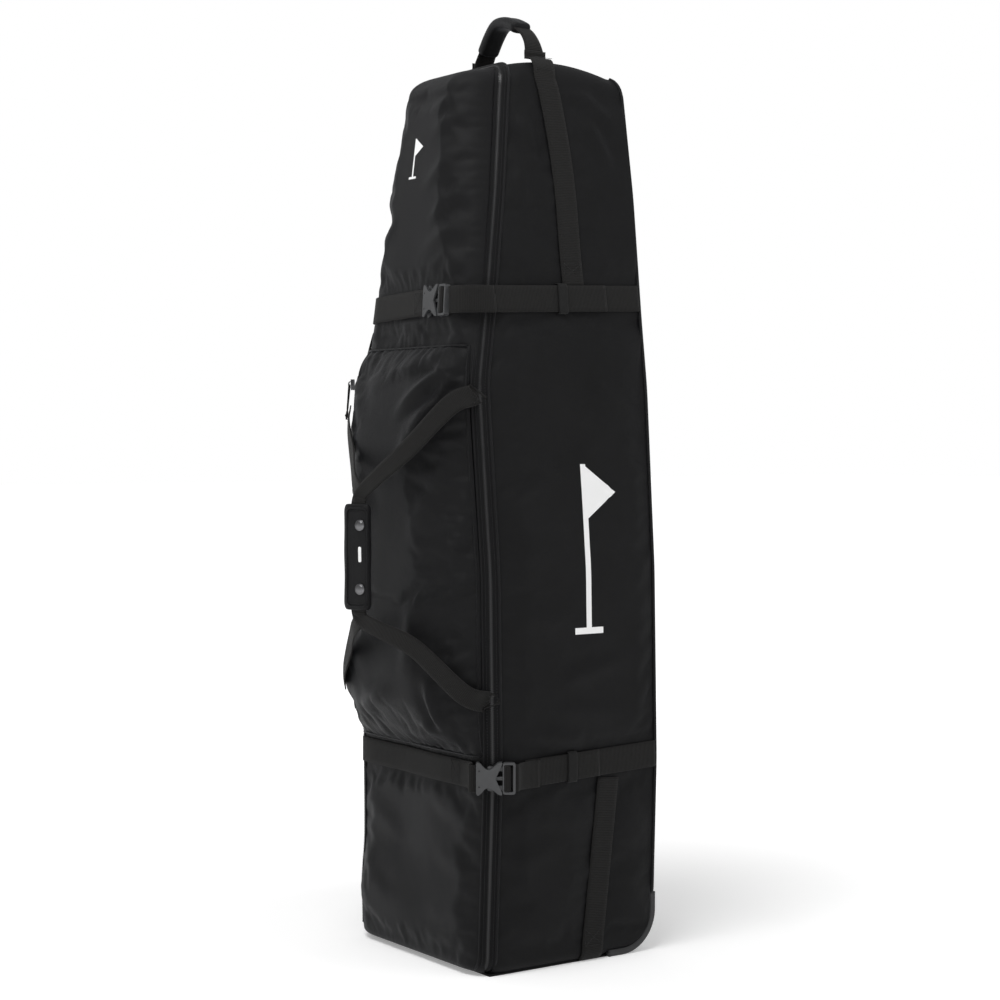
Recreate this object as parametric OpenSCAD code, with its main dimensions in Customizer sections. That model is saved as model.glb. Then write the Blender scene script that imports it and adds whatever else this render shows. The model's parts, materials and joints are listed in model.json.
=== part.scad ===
// Wheeled golf travel case: a tall padded fabric case with a zipped front lid, a front pocket,
// two cinch straps with side-release buckles, a duffel grip, a top handle and two corner wheels.
// +Z is up, -Y is the lid side, +Y is the wheel side. The origin is the middle of the base.

/* [Case] */
// Height of the padded body without the top handle
case_height = 1280; // [1240:10:1320]
// Distance from the base centre to the flat back
back_y = 160; // [150:1:165]
// Thickness of the padded fabric walls
wall = 3; // [2:0.5:4]
// Rounding of the bottom edge
bottom_round = 16; // [12:1:18]
// Rounding of the top edge
top_round = 30; // [24:1:36]

/* [Lid and pocket] */
// Width of the lid's rounded front corners
corner_run = 45; // [30:1:55]
// Lowest edge of the front pocket
pocket_low = 305; // [295:5:325]
// Highest edge of the front pocket
pocket_high = 878; // [840:1:890]
// How far the full pocket stands in front of the lid
pocket_depth = 44; // [36:1:48]

/* [Straps] */
// Width of the webbing used for the straps and the duffel handle
webbing = 38; // [30:1:40]
// Thickness of the webbing
webbing_t = 1.8; // [1.4:0.1:2]
// Height of the upper cinch strap
upper_strap_z = 940; // [925:1:955]
// Height of the lower cinch strap
lower_strap_z = 280; // [260:1:285]

/* [Wheels] */
// Radius of the wheel
wheel_r = 36; // [34:1:36]
// Width of the tyre
wheel_w = 26; // [22:1:28]
// Radius of the wheel's axle
axle_r = 4; // [3.5:0.5:5]

/* [Top handle] */
// Distance from the base centre to the middle of the handle, towards the wheels
handle_y = 15; // [5:1:25]
// Height of the top of the handle above the top panel
handle_rise = 80; // [72:1:88]

/* [Hidden] */

// Half-width of the case by height
width_by_height = [
    [0, 168], [280, 178], [560, 172], [820, 154], [920, 141], [1100, 121], [1280, 92]
];
// Front-to-back place of the main zip by height
seam_by_height = [
    [0, -134], [280, -131], [560, -131], [820, -137], [920, -117], [1100, -87], [1280, -57]
];
// Front face of the lid by height
front_by_height = [
    [0, -148], [80, -150], [180, -143], [280, -142], [560, -144], [820, -156], [920, -152],
    [1100, -141], [1280, -118]
];
// Rows of the wall meshes, close together where the edges round over
low_rows = [3, 6, 10, 16];
mid_rows = [100, 190, 280, 370, 465, 560, 650, 740, 820, 870, 920, 1010, 1100, 1175];
top_rows = [for (drop = [30, 16, 7, 3]) case_height - drop];
wall_rows = concat(low_rows, mid_rows, top_rows);
back_corner = 11;
tuck_run = 28;
tuck_in = 8;
guard_rise = 80;
guard_bend = 60;
guard_t = 10;
guard_front = back_y - guard_rise - 5;
tape_t = 1;
coil_t = 1.6;
coil_wide = 2.2;
coil_at = 1.75;
gap = 0.3;
clearance = 0.05;
handle_foot = 62;
handle_flat = 44;
wheel_x = 127;
wheel_y = 127;
housing_in_x = 103;
housing_out_x = 151;
housing_front_y = 84;
housing_top = 84;
hinge_top = 850;
dome_rise = 13;
dome_y = 45;
dome_reach = 95;
seam_angle = 25;
upper_plug_x = 93;
lower_buckle_at = [176.5, -134];
lower_buckle_turn = 58;
socket_long = 36;
buckle_t = 11;

black = [0.09, 0.09, 0.095];
panel_black = [0.12, 0.12, 0.13];
webbing_black = [0.16, 0.155, 0.15];
plastic_grey = [0.25, 0.25, 0.26];

function unit(v) = v / norm(v);
function mix(a, b, t) = a + (b - a) * t;

// Inset of a rounded edge of radius r at a distance d from the flat end
function round_in(r, d) = d >= r ? 0 : r - sqrt(r * r - (r - d) * (r - d));
function edge_in(z) = round_in(bottom_round, z) + round_in(top_round, case_height - z);
function half_w(z) = lookup(z, width_by_height) - edge_in(z);
// How far the side wall curves in at a distance from the main zip, and its slope there
function tuck(d) = d >= tuck_run ? 0 : tuck_in * pow(1 - d / tuck_run, 2);
function tuck_slope(d) = d >= tuck_run ? 0 : 2 * tuck_in * (1 - d / tuck_run) / tuck_run;
function seam_y(z) = lookup(z, seam_by_height) + edge_in(z) * 0.4;
function front_y(z) = lookup(z, front_by_height) + edge_in(z) * 0.8;
// How far the soft top stands up at y, and the share of it that a side wall has at height z
function top_rise(y) = dome_rise * max(0, 1 - pow((y - dome_y) / dome_reach, 2));
function rise_share(z) = max(0, (z - 1100) / (case_height - 1100));

// Outward direction of the right side wall at height z
function side_normal(z) = unit([20, 0, lookup(z - 10, width_by_height) - lookup(z + 10, width_by_height)]);

// Closed sheet between an outer and an inner grid of points. Columns run counterclockwise seen
// from above and rows run upwards.
module shell(outer, inner) {
    rows = len(outer);
    cols = len(outer[0]);
    function id(side, r, c) = (side * rows + r) * cols + c;
    function quad(a, b, c, d) = [[a, b, c], [a, c, d]];
    skins = [for (r = [0 : rows - 2], c = [0 : cols - 2]) each concat(
        quad(id(0, r, c), id(0, r + 1, c), id(0, r + 1, c + 1), id(0, r, c + 1)),
        quad(id(1, r, c), id(1, r, c + 1), id(1, r + 1, c + 1), id(1, r + 1, c)))];
    ends = [for (c = [0 : cols - 2]) each concat(
        quad(id(0, 0, c), id(0, 0, c + 1), id(1, 0, c + 1), id(1, 0, c)),
        quad(id(0, rows - 1, c), id(1, rows - 1, c), id(1, rows - 1, c + 1), id(0, rows - 1, c + 1)))];
    sides = [for (r = [0 : rows - 2]) each concat(
        quad(id(0, r, 0), id(1, r, 0), id(1, r + 1, 0), id(0, r + 1, 0)),
        quad(id(0, r, cols - 1), id(0, r + 1, cols - 1), id(1, r + 1, cols - 1), id(1, r, cols - 1)))];
    polyhedron(concat([for (r = outer) each r], [for (r = inner) each r]), concat(skins, ends, sides));
}

// Flat band through points, its lower face on them, standing thick towards the normals
module ribbon(path, normals, wide, thick) {
    last = len(path) - 1;
    function along(i) = unit(path[min(i + 1, last)] - path[max(i - 1, 0)]);
    function across(i) = unit(cross(along(i), normals[i])) * wide / 2;
    function ring(i) = [
        path[i] - across(i),
        path[i] + across(i),
        path[i] + across(i) + normals[i] * thick,
        path[i] - across(i) + normals[i] * thick
    ];
    sides = [for (i = [0 : last - 1], k = [0 : 3]) each [
        [4 * i + k, 4 * i + (k + 1) % 4, 4 * (i + 1) + (k + 1) % 4],
        [4 * i + k, 4 * (i + 1) + (k + 1) % 4, 4 * (i + 1) + k]]];
    caps = [[3, 2, 1, 0], [for (k = [0 : 3]) 4 * last + k]];
    polyhedron([for (i = [0 : last]) each ring(i)], concat(caps, sides));
}

module both_sides() {
    children();
    mirror([1, 0, 0]) children();
}

/* Case walls */

// Lowest point of a side panel, lifted round the wheel guard at the back
function side_low(y) =
    let (bend_y = back_y - guard_bend)
    let (clear_r = guard_bend - guard_t - 1.2)
    y < guard_front - 1 ? 3
    : guard_bend - sqrt(max(0, clear_r * clear_r - pow(max(0, y - bend_y), 2)));

function side_point(row, y, inset) =
    let (z = max(wall_rows[row], side_low(y) + row * 0.5))
    [half_w(z) - tuck(y - seam_y(wall_rows[row])) - inset, y, z + top_rise(y) * rise_share(z)];

module side_panel() {
    behind_zip = [1, 9, 18, tuck_run];
    further_back = concat([10, 40, guard_front - 3, guard_front - 0.5],
        [for (back = [60, 45, 32, 22, 15]) back_y - back], [back_y - back_corner]);
    grid = function (inset) [for (row = [0 : len(wall_rows) - 1]) concat(
        [for (d = behind_zip) side_point(row, seam_y(wall_rows[row]) + d, inset)],
        [for (y = further_back) side_point(row, y, inset)])];
    shell(grid(0), grid(wall));
}

module right_side_panel() color(panel_black) side_panel();

module left_side_panel() color(panel_black) mirror([1, 0, 0]) side_panel();

back_rows = concat([housing_top + 10], [for (z = wall_rows) if (z > housing_top + 12) z]);

module back_panel() {
    turn = [for (a = [0 : 22.5 : 90]) a];
    grid = function (inset) [for (z = back_rows) concat(
        [for (a = turn) [half_w(z) - back_corner, back_y - back_corner, z]
            + (back_corner - inset) * [cos(a), sin(a), 0] + [0, a == 0 ? 0.3 : 0, 0]],
        [for (a = turn) [back_corner - half_w(z), back_y - back_corner, z]
            + (back_corner - inset) * [-sin(a), cos(a), 0] + [0, a == 90 ? 0.3 : 0, 0]])];
    color(panel_black) shell(grid(0), grid(wall));
}

// Outline of the case at height z, pulled in by inset, without the space in front of the zip
module footprint(z, inset, front) {
    w = half_w(z) - inset;
    polygon([[-w, front], [w, front], [w, back_y - back_corner], [w - 8, back_y - inset],
        [8 - w, back_y - inset], [-w, back_y - back_corner]]);
}

// Space at each lower rear corner for the wheel's housing and the guard beside it
module wheel_cut() {
    both_sides() {
        translate([housing_in_x - gap, housing_front_y - gap]) square([wheel_x, wheel_x]);
        translate([housing_out_x, guard_front - gap]) square([wheel_x, wheel_x]);
    }
}

module bottom_panel() {
    color(black) linear_extrude(3 - gap) difference() {
        footprint(3, 0.3, seam_y(3) + 1);
        wheel_cut();
    }
}

module base_board() {
    color(plastic_grey) translate([0, 0, 3]) linear_extrude(4) difference() {
        footprint(3, wall + 3.5, seam_y(7) + 14);
        wheel_cut();
    }
}

module top_panel() {
    half = half_w(case_height - 3);
    front = seam_y(case_height - 3) + 1;
    rows = concat([for (t = [0 : 0.125 : 0.875]) mix(front, back_y - 13, t)], [back_y - 13]);
    grid = function (drop) [for (y = rows) [for (x = [-1, -0.5, 0, 0.5, 1])
        [x * half, y, case_height + top_rise(y) - drop]]];
    color(panel_black) shell(grid(0), grid(wall - gap));
}

// Stiff sheet that keeps the back flat, between the wheels' housings and the padding
module back_board() {
    low = housing_top + 10;
    high = case_height - 60;
    color(plastic_grey) translate([0, back_y - wall - 3, 0]) rotate([90, 0, 0])
        translate([0, 0, -2.5]) linear_extrude(2.5)
        polygon([[-150, low], [150, low], [150, 560], [132, 820], [100, 1100], [84, high],
            [-84, high], [-100, 1100], [-132, 820], [-150, 560]]);
}

// Foam pads around the club heads, inside both side walls and under the top
module top_padding() {
    rows = [960, 1040, 1120, 1200];
    pad = 14;
    grid = function (inset) [for (z = rows) [for (y = [-40, 30, 100])
        [half_w(z) - wall - 1 - inset, y, z]]];
    color([0.3, 0.3, 0.32]) both_sides() shell(grid(0), grid(pad));
    color([0.3, 0.3, 0.32]) translate([-58, -30, case_height - 28]) cube([116, 140, 14]);
}

// Piping cords sewn along the rear edges of the side panels
module back_piping() {
    rows = [for (z = back_rows) if (z < case_height - 20) z];
    side = [for (z = rows) side_normal(z)];
    path = [for (i = [0 : len(rows) - 1])
        [half_w(rows[i]), back_y - back_corner + 1, rows[i]] + side[i] * 0.4];
    color(black) both_sides() ribbon(path, side, 4, 3);
}

/* Main zip */

// Heights at which the zip's bands have points, up the right side and down the left
zip_rows = [for (z = wall_rows) if (z > 10 && z < case_height - 10) z];
left_zip_rows = [for (z = zip_rows) if (z > hinge_top + 10) z];

// Band along the zip's line on the right side, at an offset towards the back
module zip_band(rows, offset, wide, thick, lift) {
    d = abs(offset);
    out = unit([1, -tuck_slope(d), 0]);
    path = [for (z = rows) [half_w(z) - tuck(d), seam_y(z) + offset, z] + out * lift];
    ribbon(path, [for (z = rows) out], wide, thick);
}

module case_tape(rows) {
    grid = function (lift) [for (z = rows) [for (d = [3, 7, 11])
        [half_w(z) - tuck(d), seam_y(z) + d, z] + lift * unit([1, -tuck_slope(d), 0])]];
    shell(grid(gap + tape_t), grid(gap));
}

module case_zip_tape() {
    color(black) case_tape(zip_rows);
    color(black) mirror([1, 0, 0]) case_tape(left_zip_rows);
}

module case_zip_coil() {
    color(black) zip_band(zip_rows, coil_at, coil_wide, coil_t, gap);
    color(black) mirror([1, 0, 0]) zip_band(left_zip_rows, coil_at, coil_wide, coil_t, gap);
}

// Lid rows as [height, share by which the front has closed in towards the seam]
lid_rows = concat([[4, 1], [5, 0.5], [9, 0.12], [16, 0]], [for (z = mid_rows) [z, 0]],
    [[case_height - 30, 0], [case_height - 14, 0.15], [case_height - 6, 0.5], [case_height - 4, 1]]);

function lid_point(z, close, angle, side, inset) =
    let (w = half_w(z) - tuck_in - inset)
    let (front = mix(front_y(z) + inset, seam_y(z) - 1.5, close * 0.9))
    let (bulge = (seam_y(z) - 1.5 - front) / (1 - sin(seam_angle)))
    [side * (w - corner_run * (cos(seam_angle) - cos(angle))), front + bulge * (1 - sin(angle)), z];

function lid_row(z, close, inset) = concat(
    [for (a = [seam_angle : 13 : 90]) lid_point(z, close, a, -1, inset)],
    [for (a = [seam_angle : 13 : 90]) lid_point(z, close, 90 + seam_angle - a, 1, inset)]);

module lid_panel() {
    grid = function (inset) [for (row = lid_rows) [for (p = lid_row(row[0], row[1], inset))
        [p[0], p[1], min(max(p[2], 4 + inset), case_height - 4 - inset)]]];
    color(panel_black) shell(grid(0), grid(wall));
}

module lid_zip_tape() {
    grid = function (rows, lift) [for (z = rows) [for (a = [42 : -5 : 27])
        lid_point(z, 0, a, 1, 0) + lift * unit([cos(a), -sin(a), 0])]];
    color(black) shell(grid(zip_rows, gap + tape_t), grid(zip_rows, gap));
    color(black) mirror([1, 0, 0]) shell(grid(left_zip_rows, gap + tape_t), grid(left_zip_rows, gap));
}

module lid_zip_coil() {
    color(black) zip_band(zip_rows, -coil_at, coil_wide, coil_t, gap);
    color(black) mirror([1, 0, 0]) zip_band(left_zip_rows, -coil_at, coil_wide, coil_t, gap);
}

// Pull-tab slider: a flat body over the coil, with a bridge for its puller
module slider_body() {
    color(plastic_grey) difference() {
        translate([-5, 0, -8]) cube([10, 4, 16]);
        translate([-6, -1, -8.5]) cube([3, 3, 3]);
    }
    color(plastic_grey) difference() {
        translate([-2, 4, -5]) cube([4, 4.5, 10]);
        translate([-3, 3.9, -3]) cube([6, 3, 6]);
    }
}

module slider_puller() {
    color(plastic_grey) translate([-2.9, 0.8, 0]) rotate([0, 90, 0]) cylinder(h = 5.8, r = 1.1);
    color(plastic_grey) difference() {
        translate([-4, 0, -32]) cube([8, 1.6, 32.8]);
        translate([-2.6, -1, -7.2]) cube([5.2, 4, 9]);
    }
    color(webbing_black) translate([-3.2, -0.8, -70]) cube([6.4, 3.2, 38 - gap]);
}

main_slider_z = 930;
main_slider_lift = coil_t + 2.4;
puller_lean = 5;
strap_climb = 0.04;
pocket_sag = 9;
grip_turn = 25;

// Places a slider part on the left zip: z along the zip, y pointing away from the case
module on_left_zip(z) {
    along = unit([half_w(z) - half_w(z + 90), seam_y(z + 90) - seam_y(z), 90]);
    flat_out = unit([-1, -tuck_slope(0), 0]);
    out = unit(flat_out - along * (flat_out * along));
    side = cross(out, along);
    at = [tuck_in - half_w(z), seam_y(z), z] + out * main_slider_lift;
    multmatrix([for (k = [0 : 2]) [side[k], out[k], along[k], at[k]]]) children();
}

module main_zip_slider() on_left_zip(main_slider_z) slider_body();

module main_zip_puller() on_left_zip(main_slider_z) translate([0, 4.65, -0.5])
    rotate([puller_lean, 0, 0]) slider_puller();

/* Front pocket */

// Outer surface of the pocket: u and v run from -1 to 1 across its width and its height
function pocket_point(u, v, inset) =
    let (z = mix(pocket_low, pocket_high, (v + 1) / 2))
    let (w = half_w(z) - tuck_in - 8 - inset)
    let (swell = pow(1 - pow(abs(u), 5), 0.7) * pow(1 - pow(abs(v), 7), 0.7))
    let (sag = pocket_sag * exp(-pow((v + 0.68) / 0.25, 2)))
    let (base = lid_front_at(u * w, z) - gap - 0.1)
    [u * w, min(base, base - (pocket_depth + sag - inset) * swell), z];

// Front-to-back place of the lid's face at x
function lid_front_at(x, z) =
    let (over = max(0, abs(x) - (half_w(z) - tuck_in - corner_run * cos(seam_angle))) / corner_run)
    let (bulge = (seam_y(z) - 1.5 - front_y(z)) / (1 - sin(seam_angle)))
    front_y(z) + bulge * (1 - sqrt(max(0, 1 - over * over)));

pocket_rows = [-1, -0.985, -0.95, -0.88, -0.75, -0.5, -0.25, 0, 0.25, 0.5, 0.75, 0.88, 0.95, 0.985, 1];

module pocket_part(us) {
    grid = function (inset) [for (v = pocket_rows) [for (u = us) pocket_point(u, v, inset)]];
    inner = [for (v = pocket_rows) [for (u = us) pocket_point(u, v, 2.5)]];
    outer = grid(0);
    shell([for (r = outer) [for (p = r) p + [0, -2, 0]]], inner);
}

gusset_u = 0.86;

module pocket_panel() color(panel_black)
    pocket_part([for (u = [-1 : 0.125 : 1]) u * (gusset_u - 0.005)]);

module pocket_gusset_right() color(black)
    pocket_part([gusset_u, 0.9, 0.94, 0.97, 0.99]);

module pocket_gusset_left() color(black)
    pocket_part([-0.99, -0.97, -0.94, -0.9, -gusset_u]);

// Zip down the left gusset of the pocket
pocket_zip_u = -0.93;
pocket_zip_rows = [-0.86, -0.6, -0.3, 0, 0.3, 0.6, 0.75, 0.86];
pocket_zip_out = unit([-1, -1, 0]);

module pocket_zip() {
    path = [for (v = pocket_zip_rows)
        pocket_point(pocket_zip_u, v, 0) + [0, -2, 0] + pocket_zip_out * 1.8];
    color(black) ribbon(path, [for (p = path) pocket_zip_out], 14, 1.2);
}

pocket_slider_at = pocket_point(pocket_zip_u, 0.82, 0) + [0, -2, 0] + pocket_zip_out * 5.6;

module at_pocket_slider() translate(pocket_slider_at) rotate([0, 0, 135]) children();

module pocket_zip_slider() at_pocket_slider() slider_body();

module pocket_zip_puller() {
    color(webbing_black) at_pocket_slider() translate([0, 5.5, -1.5]) rotate([puller_lean, 0, 0]) {
        translate([-3, 0, 0]) rotate([0, 90, 0]) cylinder(h = 6, r = 1.2);
        for (x = [-3.6, 2.2]) translate([x, -1.2, -38.5]) cube([1.4, 2.4, 39]);
        translate([-3.6, -1.5, -50.5]) cube([7.2, 3, 12.5]);
    }
}

/* Duffel grip on the lid */

grip_low = 505;
grip_high = 655;
grip_y = -245;
grip_wide = 44;
grip_deep = 18;

// One webbing run from the edge of the lid or pocket, through two more points, to the wrap
module grip_run(points, end_z, first_out) {
    out = [first_out, unit([0.5, -1, 0]), unit([0.25, -1, 0]), [0, -1, 0]];
    color(webbing_black) ribbon(concat(points, [[16, grip_y + 2, end_z]]), out, 30, webbing_t);
}

module grip_webbing_right() {
    high_z = 815;
    low_z = 375;
    grip_run([[half_w(high_z) - 4, -150, high_z], [half_w(high_z) - 14, -182, high_z - 23],
        [92, -218, 733]], grip_high + 14, unit([1, -0.5, 0]));
    grip_run([[half_w(low_z) - 4, -146, low_z], [half_w(low_z) - 14, -176, low_z + 22],
        [100, -214, 457]], grip_low - 14, unit([1, -0.5, 0]));
}

// The left loop is sewn to the front of the pocket, so that it stays clear of the pocket's zip
function sewn_at(u, v) = pocket_point(u, v, 0) + [2.4, -6, 0];
sewn_out = unit([0.45, -1, 0]);

module grip_webbing_left() mirror([1, 0, 0]) {
    grip_run([sewn_at(0.83, 0.67), sewn_at(0.77, 0.6), [88, -216, 717]], grip_high + 14, sewn_out);
    grip_run([sewn_at(0.83, -0.72), sewn_at(0.77, -0.65), [92, -212, 452]], grip_low - 14, sewn_out);
}

// The wrap is turned a little towards the right, as the loops leave it
module at_grip() translate([0, grip_y, (grip_low + grip_high) / 2])
    rotate([0, 0, grip_turn]) children();

// Padded wrap that snaps round both webbing loops
module grip_wrap() {
    color(black) at_grip() linear_extrude(grip_high - grip_low, center = true)
        offset(6) square([grip_wide - 12, grip_deep - 12], center = true);
}

module grip_snaps() {
    snap_r = 7.5;
    reach = (grip_high - grip_low) / 2 - 30;
    color(plastic_grey) at_grip() for (z = [-reach, reach])
        translate([9, -grip_deep / 2 - gap, z]) rotate([90, 0, 0]) cylinder(h = 2.5, r1 = snap_r, r2 = 5);
}

/* Cinch straps */

// Points along the right side wall at height z, standing off it by lift
function on_side(y, z, lift) = [half_w(z), y, z] + side_normal(z) * lift;

// Height at y of a strap that sets out at height z and climbs a little towards the back
function strap_z(y, z) = z + strap_climb * max(0, y + 110);

module side_run(z, y_from, y_to, lift) {
    n = side_normal(z);
    ribbon([for (y = [y_from, y_to]) on_side(y, strap_z(y, z), lift)], [n, n], webbing, webbing_t);
}

module upper_strap_base() color(webbing_black)
    side_run(upper_strap_z, seam_y(upper_strap_z) + 16, back_y - 8 - back_corner, gap);

module lower_strap_base() color(webbing_black)
    side_run(lower_strap_z, seam_y(lower_strap_z) + 50, back_y - 8 - back_corner, gap);

upper_tail_y = -30;
lower_tail_y = -62;

module upper_strap_tail() color(webbing_black)
    side_run(upper_strap_z, upper_tail_y + gap, 86, webbing_t + 2 * gap);

module lower_strap_tail() color(webbing_black)
    side_run(lower_strap_z, lower_tail_y + gap, 45, webbing_t + 2 * gap);

// Elastic loop round the doubled webbing
module keeper(y, z) {
    n = side_normal(z);
    color(black) translate(on_side(y, strap_z(y, z), 0))
        rotate([atan(strap_climb), -atan2(n[2], n[0]), 0]) difference() {
            translate([0.35, -8, -webbing / 2 - 3.2]) cube([6.4, 16, webbing + 6.4]);
            translate([0.1, -9, -webbing / 2 - 0.8]) cube([5.2, 18, webbing + 1.6]);
        }
}

module upper_strap_keeper() keeper(8, upper_strap_z);

module lower_strap_keeper() keeper(-4, lower_strap_z);

// Free webbing that crosses the zip, from the side wall to the buckle's plug
module upper_strap_over() {
    n = side_normal(upper_strap_z);
    face = front_y(upper_strap_z) - 3.5;
    tail_z = strap_z(upper_tail_y, upper_strap_z);
    path = [on_side(upper_tail_y - gap, tail_z, webbing_t + 2 * gap),
        on_side(-92, upper_strap_z + 0.5, webbing_t + 2 * gap), on_side(-120, upper_strap_z, 3),
        [half_w(upper_strap_z) - 6, face + 10, upper_strap_z],
        [half_w(upper_strap_z) - 20, face, upper_strap_z],
        [upper_plug_x + 5, face - 1, upper_strap_z]];
    color(webbing_black) ribbon(path, [n, n, unit([1, -0.3, 0.1]), unit([1, -1, 0]),
        unit([0.2, -1, 0]), [0, -1, 0]], webbing, webbing_t);
}

module lower_strap_over() {
    n = side_normal(lower_strap_z);
    tail_z = strap_z(lower_tail_y, lower_strap_z);
    path = [on_side(lower_tail_y - gap, tail_z, webbing_t + 2 * gap),
        on_side(-84, lower_strap_z + 1, webbing_t + 4), on_side(-104, lower_strap_z, 13)];
    color(webbing_black) ribbon(path, [n, unit([1, -0.2, 0]), unit([1, -0.4, 0])], webbing, webbing_t);
}

// Outward direction of the lid's face at x
function lid_out(x, z) =
    let (across = lid_front_at(x + 1, z) - lid_front_at(x - 1, z))
    let (up = lid_front_at(x, z + 10) - lid_front_at(x, z - 10))
    unit([across / 2, -1, up / 20]);

// Webbing sewn across the lid from x_to to the left corner, dropping a little on the way
module strap_front(z, x_to, drop) {
    edge = half_w(z) - tuck_in;
    flat = edge - corner_run * cos(seam_angle);
    xs = concat([x_to, 0], [-flat], [for (d = [31, 23, 16, 10]) d - edge]);
    function z_at(x) = z - drop * (x_to - x);
    path = [for (x = xs) [x, lid_front_at(x, z_at(x)), z_at(x)] + lid_out(x, z_at(x)) * 1.2];
    color(webbing_black) ribbon(path, [for (x = xs) lid_out(x, z_at(x))], webbing, webbing_t);
}

upper_socket_x = upper_plug_x - 50;

module upper_strap_front() strap_front(upper_strap_z, upper_socket_x - 1, strap_climb);

module lower_strap_front() {
    face = front_y(lower_strap_z) - 3;
    strap_front(lower_strap_z, 138, 0);
    color(webbing_black) ribbon([[152, face - 3, lower_strap_z], [138.2, face, lower_strap_z]],
        [unit([0.5, -1, 0]), [0, -1, 0]], webbing, webbing_t);
}

// Side-release buckle. Its x axis runs from the webbing of the socket to the webbing of the plug
// and its y axis points away from the case.
module buckle_socket() {
    color(plastic_grey) difference() {
        translate([-25, 0, -23]) cube([socket_long, buckle_t, 46]);
        translate([-12, 2.5, -19]) cube([socket_long, buckle_t - 5, 38]);
        translate([-22, -1, -19.5]) cube([5, buckle_t + 2, 39]);
        for (side = [-1, 1]) translate([2, 2.4, side * 21 - 3]) cube([13, buckle_t - 4.8, 6]);
    }
}

module buckle_plug() {
    color(plastic_grey) {
        difference() {
            translate([11.6, 1, -22]) cube([18, buckle_t - 2, 44]);
            for (x = [14.6, 22]) translate([x, -1, -19.5]) cube([4.4, buckle_t + 2, 39]);
        }
        for (side = [-1, 1]) translate([-8, 3.2, side * 14 - 3.5]) cube([19.6, buckle_t - 6.4, 7]);
        translate([-8, 3.2, -3]) cube([19.6, buckle_t - 6.4, 6]);
    }
}

module at_upper_buckle() {
    out = lid_out(0, upper_strap_z);
    translate([upper_plug_x - 25, front_y(upper_strap_z) - 1.6, upper_strap_z])
        rotate([atan2(out[2], out[1]) - 180, 0, 0]) mirror([0, 1, 0]) children();
}

module at_lower_buckle() translate([lower_buckle_at[0], lower_buckle_at[1], lower_strap_z])
    rotate([0, 0, lower_buckle_turn]) mirror([0, 1, 0]) children();

module upper_buckle_socket() at_upper_buckle() buckle_socket();

module upper_buckle_plug() at_upper_buckle() buckle_plug();

module lower_buckle_socket() at_lower_buckle() buckle_socket();

module lower_buckle_plug() at_lower_buckle() buckle_plug();

// Straps inside the case that hold the golf bag down against the back board
module inner_cinch_straps() {
    face = back_y - wall - 7.2;
    color(webbing_black) for (z = [420, 760]) for (side = [-1, 1])
        translate([side > 0 ? 24 : -140, face - 2, z - 16]) cube([116, 2, 32]);
}

module inner_cinch_buckles() {
    face = back_y - wall - 7.2;
    color(plastic_grey) for (z = [420, 760]) difference() {
        translate([-23.5, face - 9, z - 19]) cube([47, 8.8, 38]);
        for (x = [-17, 12]) translate([x, face - 10, z - 15]) cube([5, 12, 30]);
    }
}

/* Webbing down the sides and the top handle */

module upper_side_webbing() {
    run = [[1175, 23], [1100, 28], [1010, 29], [upper_strap_z + webbing - 8, 31]];
    rows = [for (p = run) p[0]];
    side = [for (z = rows) side_normal(z)];
    path = [for (p = run) on_side(p[1], p[0], gap) + [0, 0, top_rise(p[1]) * rise_share(p[0])]];
    // From the handle's foot over the rounded top edge to the side wall
    up = case_height + dome_rise;
    top = [[handle_foot + 3, handle_y, handle_pivot_z], [handle_foot + 3.2, handle_y, up + 2],
        [78, 15, up + 1.8], [84.6, 13, up - 4.8], [92.8, 10, up - 14.6], [97.6, 11, case_height - 20]];
    top_out = [[1, 0, 0], unit([1, 0, 1]), unit([0.5, 0, 1]), unit([1, 0, 1]), unit([1, 0, 0.6]),
        unit([1, 0, 0.2])];
    color(webbing_black) both_sides()
        ribbon(concat(top, path), concat(top_out, side), webbing, webbing_t);
}

module lower_side_webbing() {
    rows = [lower_strap_z - 20, 190, 100, 26];
    side = [for (z = rows) side_normal(z)];
    path = [for (i = [0 : len(rows) - 1])
        on_side(mix(63, 42, i / (len(rows) - 1)), rows[i], gap)];
    color(webbing_black) both_sides() ribbon(path, side, webbing, webbing_t);
}

handle_pivot_z = case_height + dome_rise + 15;

module handle_webbing() {
    high = case_height + handle_rise - 9;
    path = [[-handle_foot, handle_y, handle_pivot_z], [-handle_foot + 6, handle_y, high - 18],
        [-handle_flat, handle_y, high], [handle_flat, handle_y, high],
        [handle_foot - 6, handle_y, high - 18], [handle_foot, handle_y, handle_pivot_z]];
    out = [[-1, 0, 0], unit([-1, 0, 0.3]), unit([-1, 0, 2]), unit([1, 0, 2]),
        unit([1, 0, 0.3]), [1, 0, 0]];
    color(webbing_black) ribbon(path, out, 30, 2.5);
}

module handle_wrap() {
    color(black) translate([0, handle_y, case_height + handle_rise - 5]) rotate([0, 90, 0])
        linear_extrude(2 * handle_flat - 8, center = true) difference() {
            offset(5) square([6, 26], center = true);
            translate([3, 0]) square([5, 31], center = true);
        }
}

/* Wheels and the moulded base */

// Moulded pod for one wheel, open below and behind, with bosses for the axle
module wheel_housing() {
    color(plastic_grey) difference() {
        union() {
            translate([housing_in_x, housing_front_y, 0.2])
                cube([3, back_y - housing_front_y, housing_top]);
            translate([housing_out_x - 3, housing_front_y, 0.2])
                cube([3, back_y - housing_front_y, housing_top]);
            translate([housing_in_x, housing_front_y, 0.2]) cube([housing_out_x - housing_in_x, 3, housing_top]);
            translate([housing_in_x, housing_front_y, housing_top - 3])
                cube([housing_out_x - housing_in_x, back_y - housing_front_y, 3.2]);
        }
        translate([0, wheel_y, wheel_r]) rotate([0, 90, 0]) cylinder(h = 2 * wheel_x, r = axle_r + clearance);
    }
}

module right_wheel_housing() wheel_housing();

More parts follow.
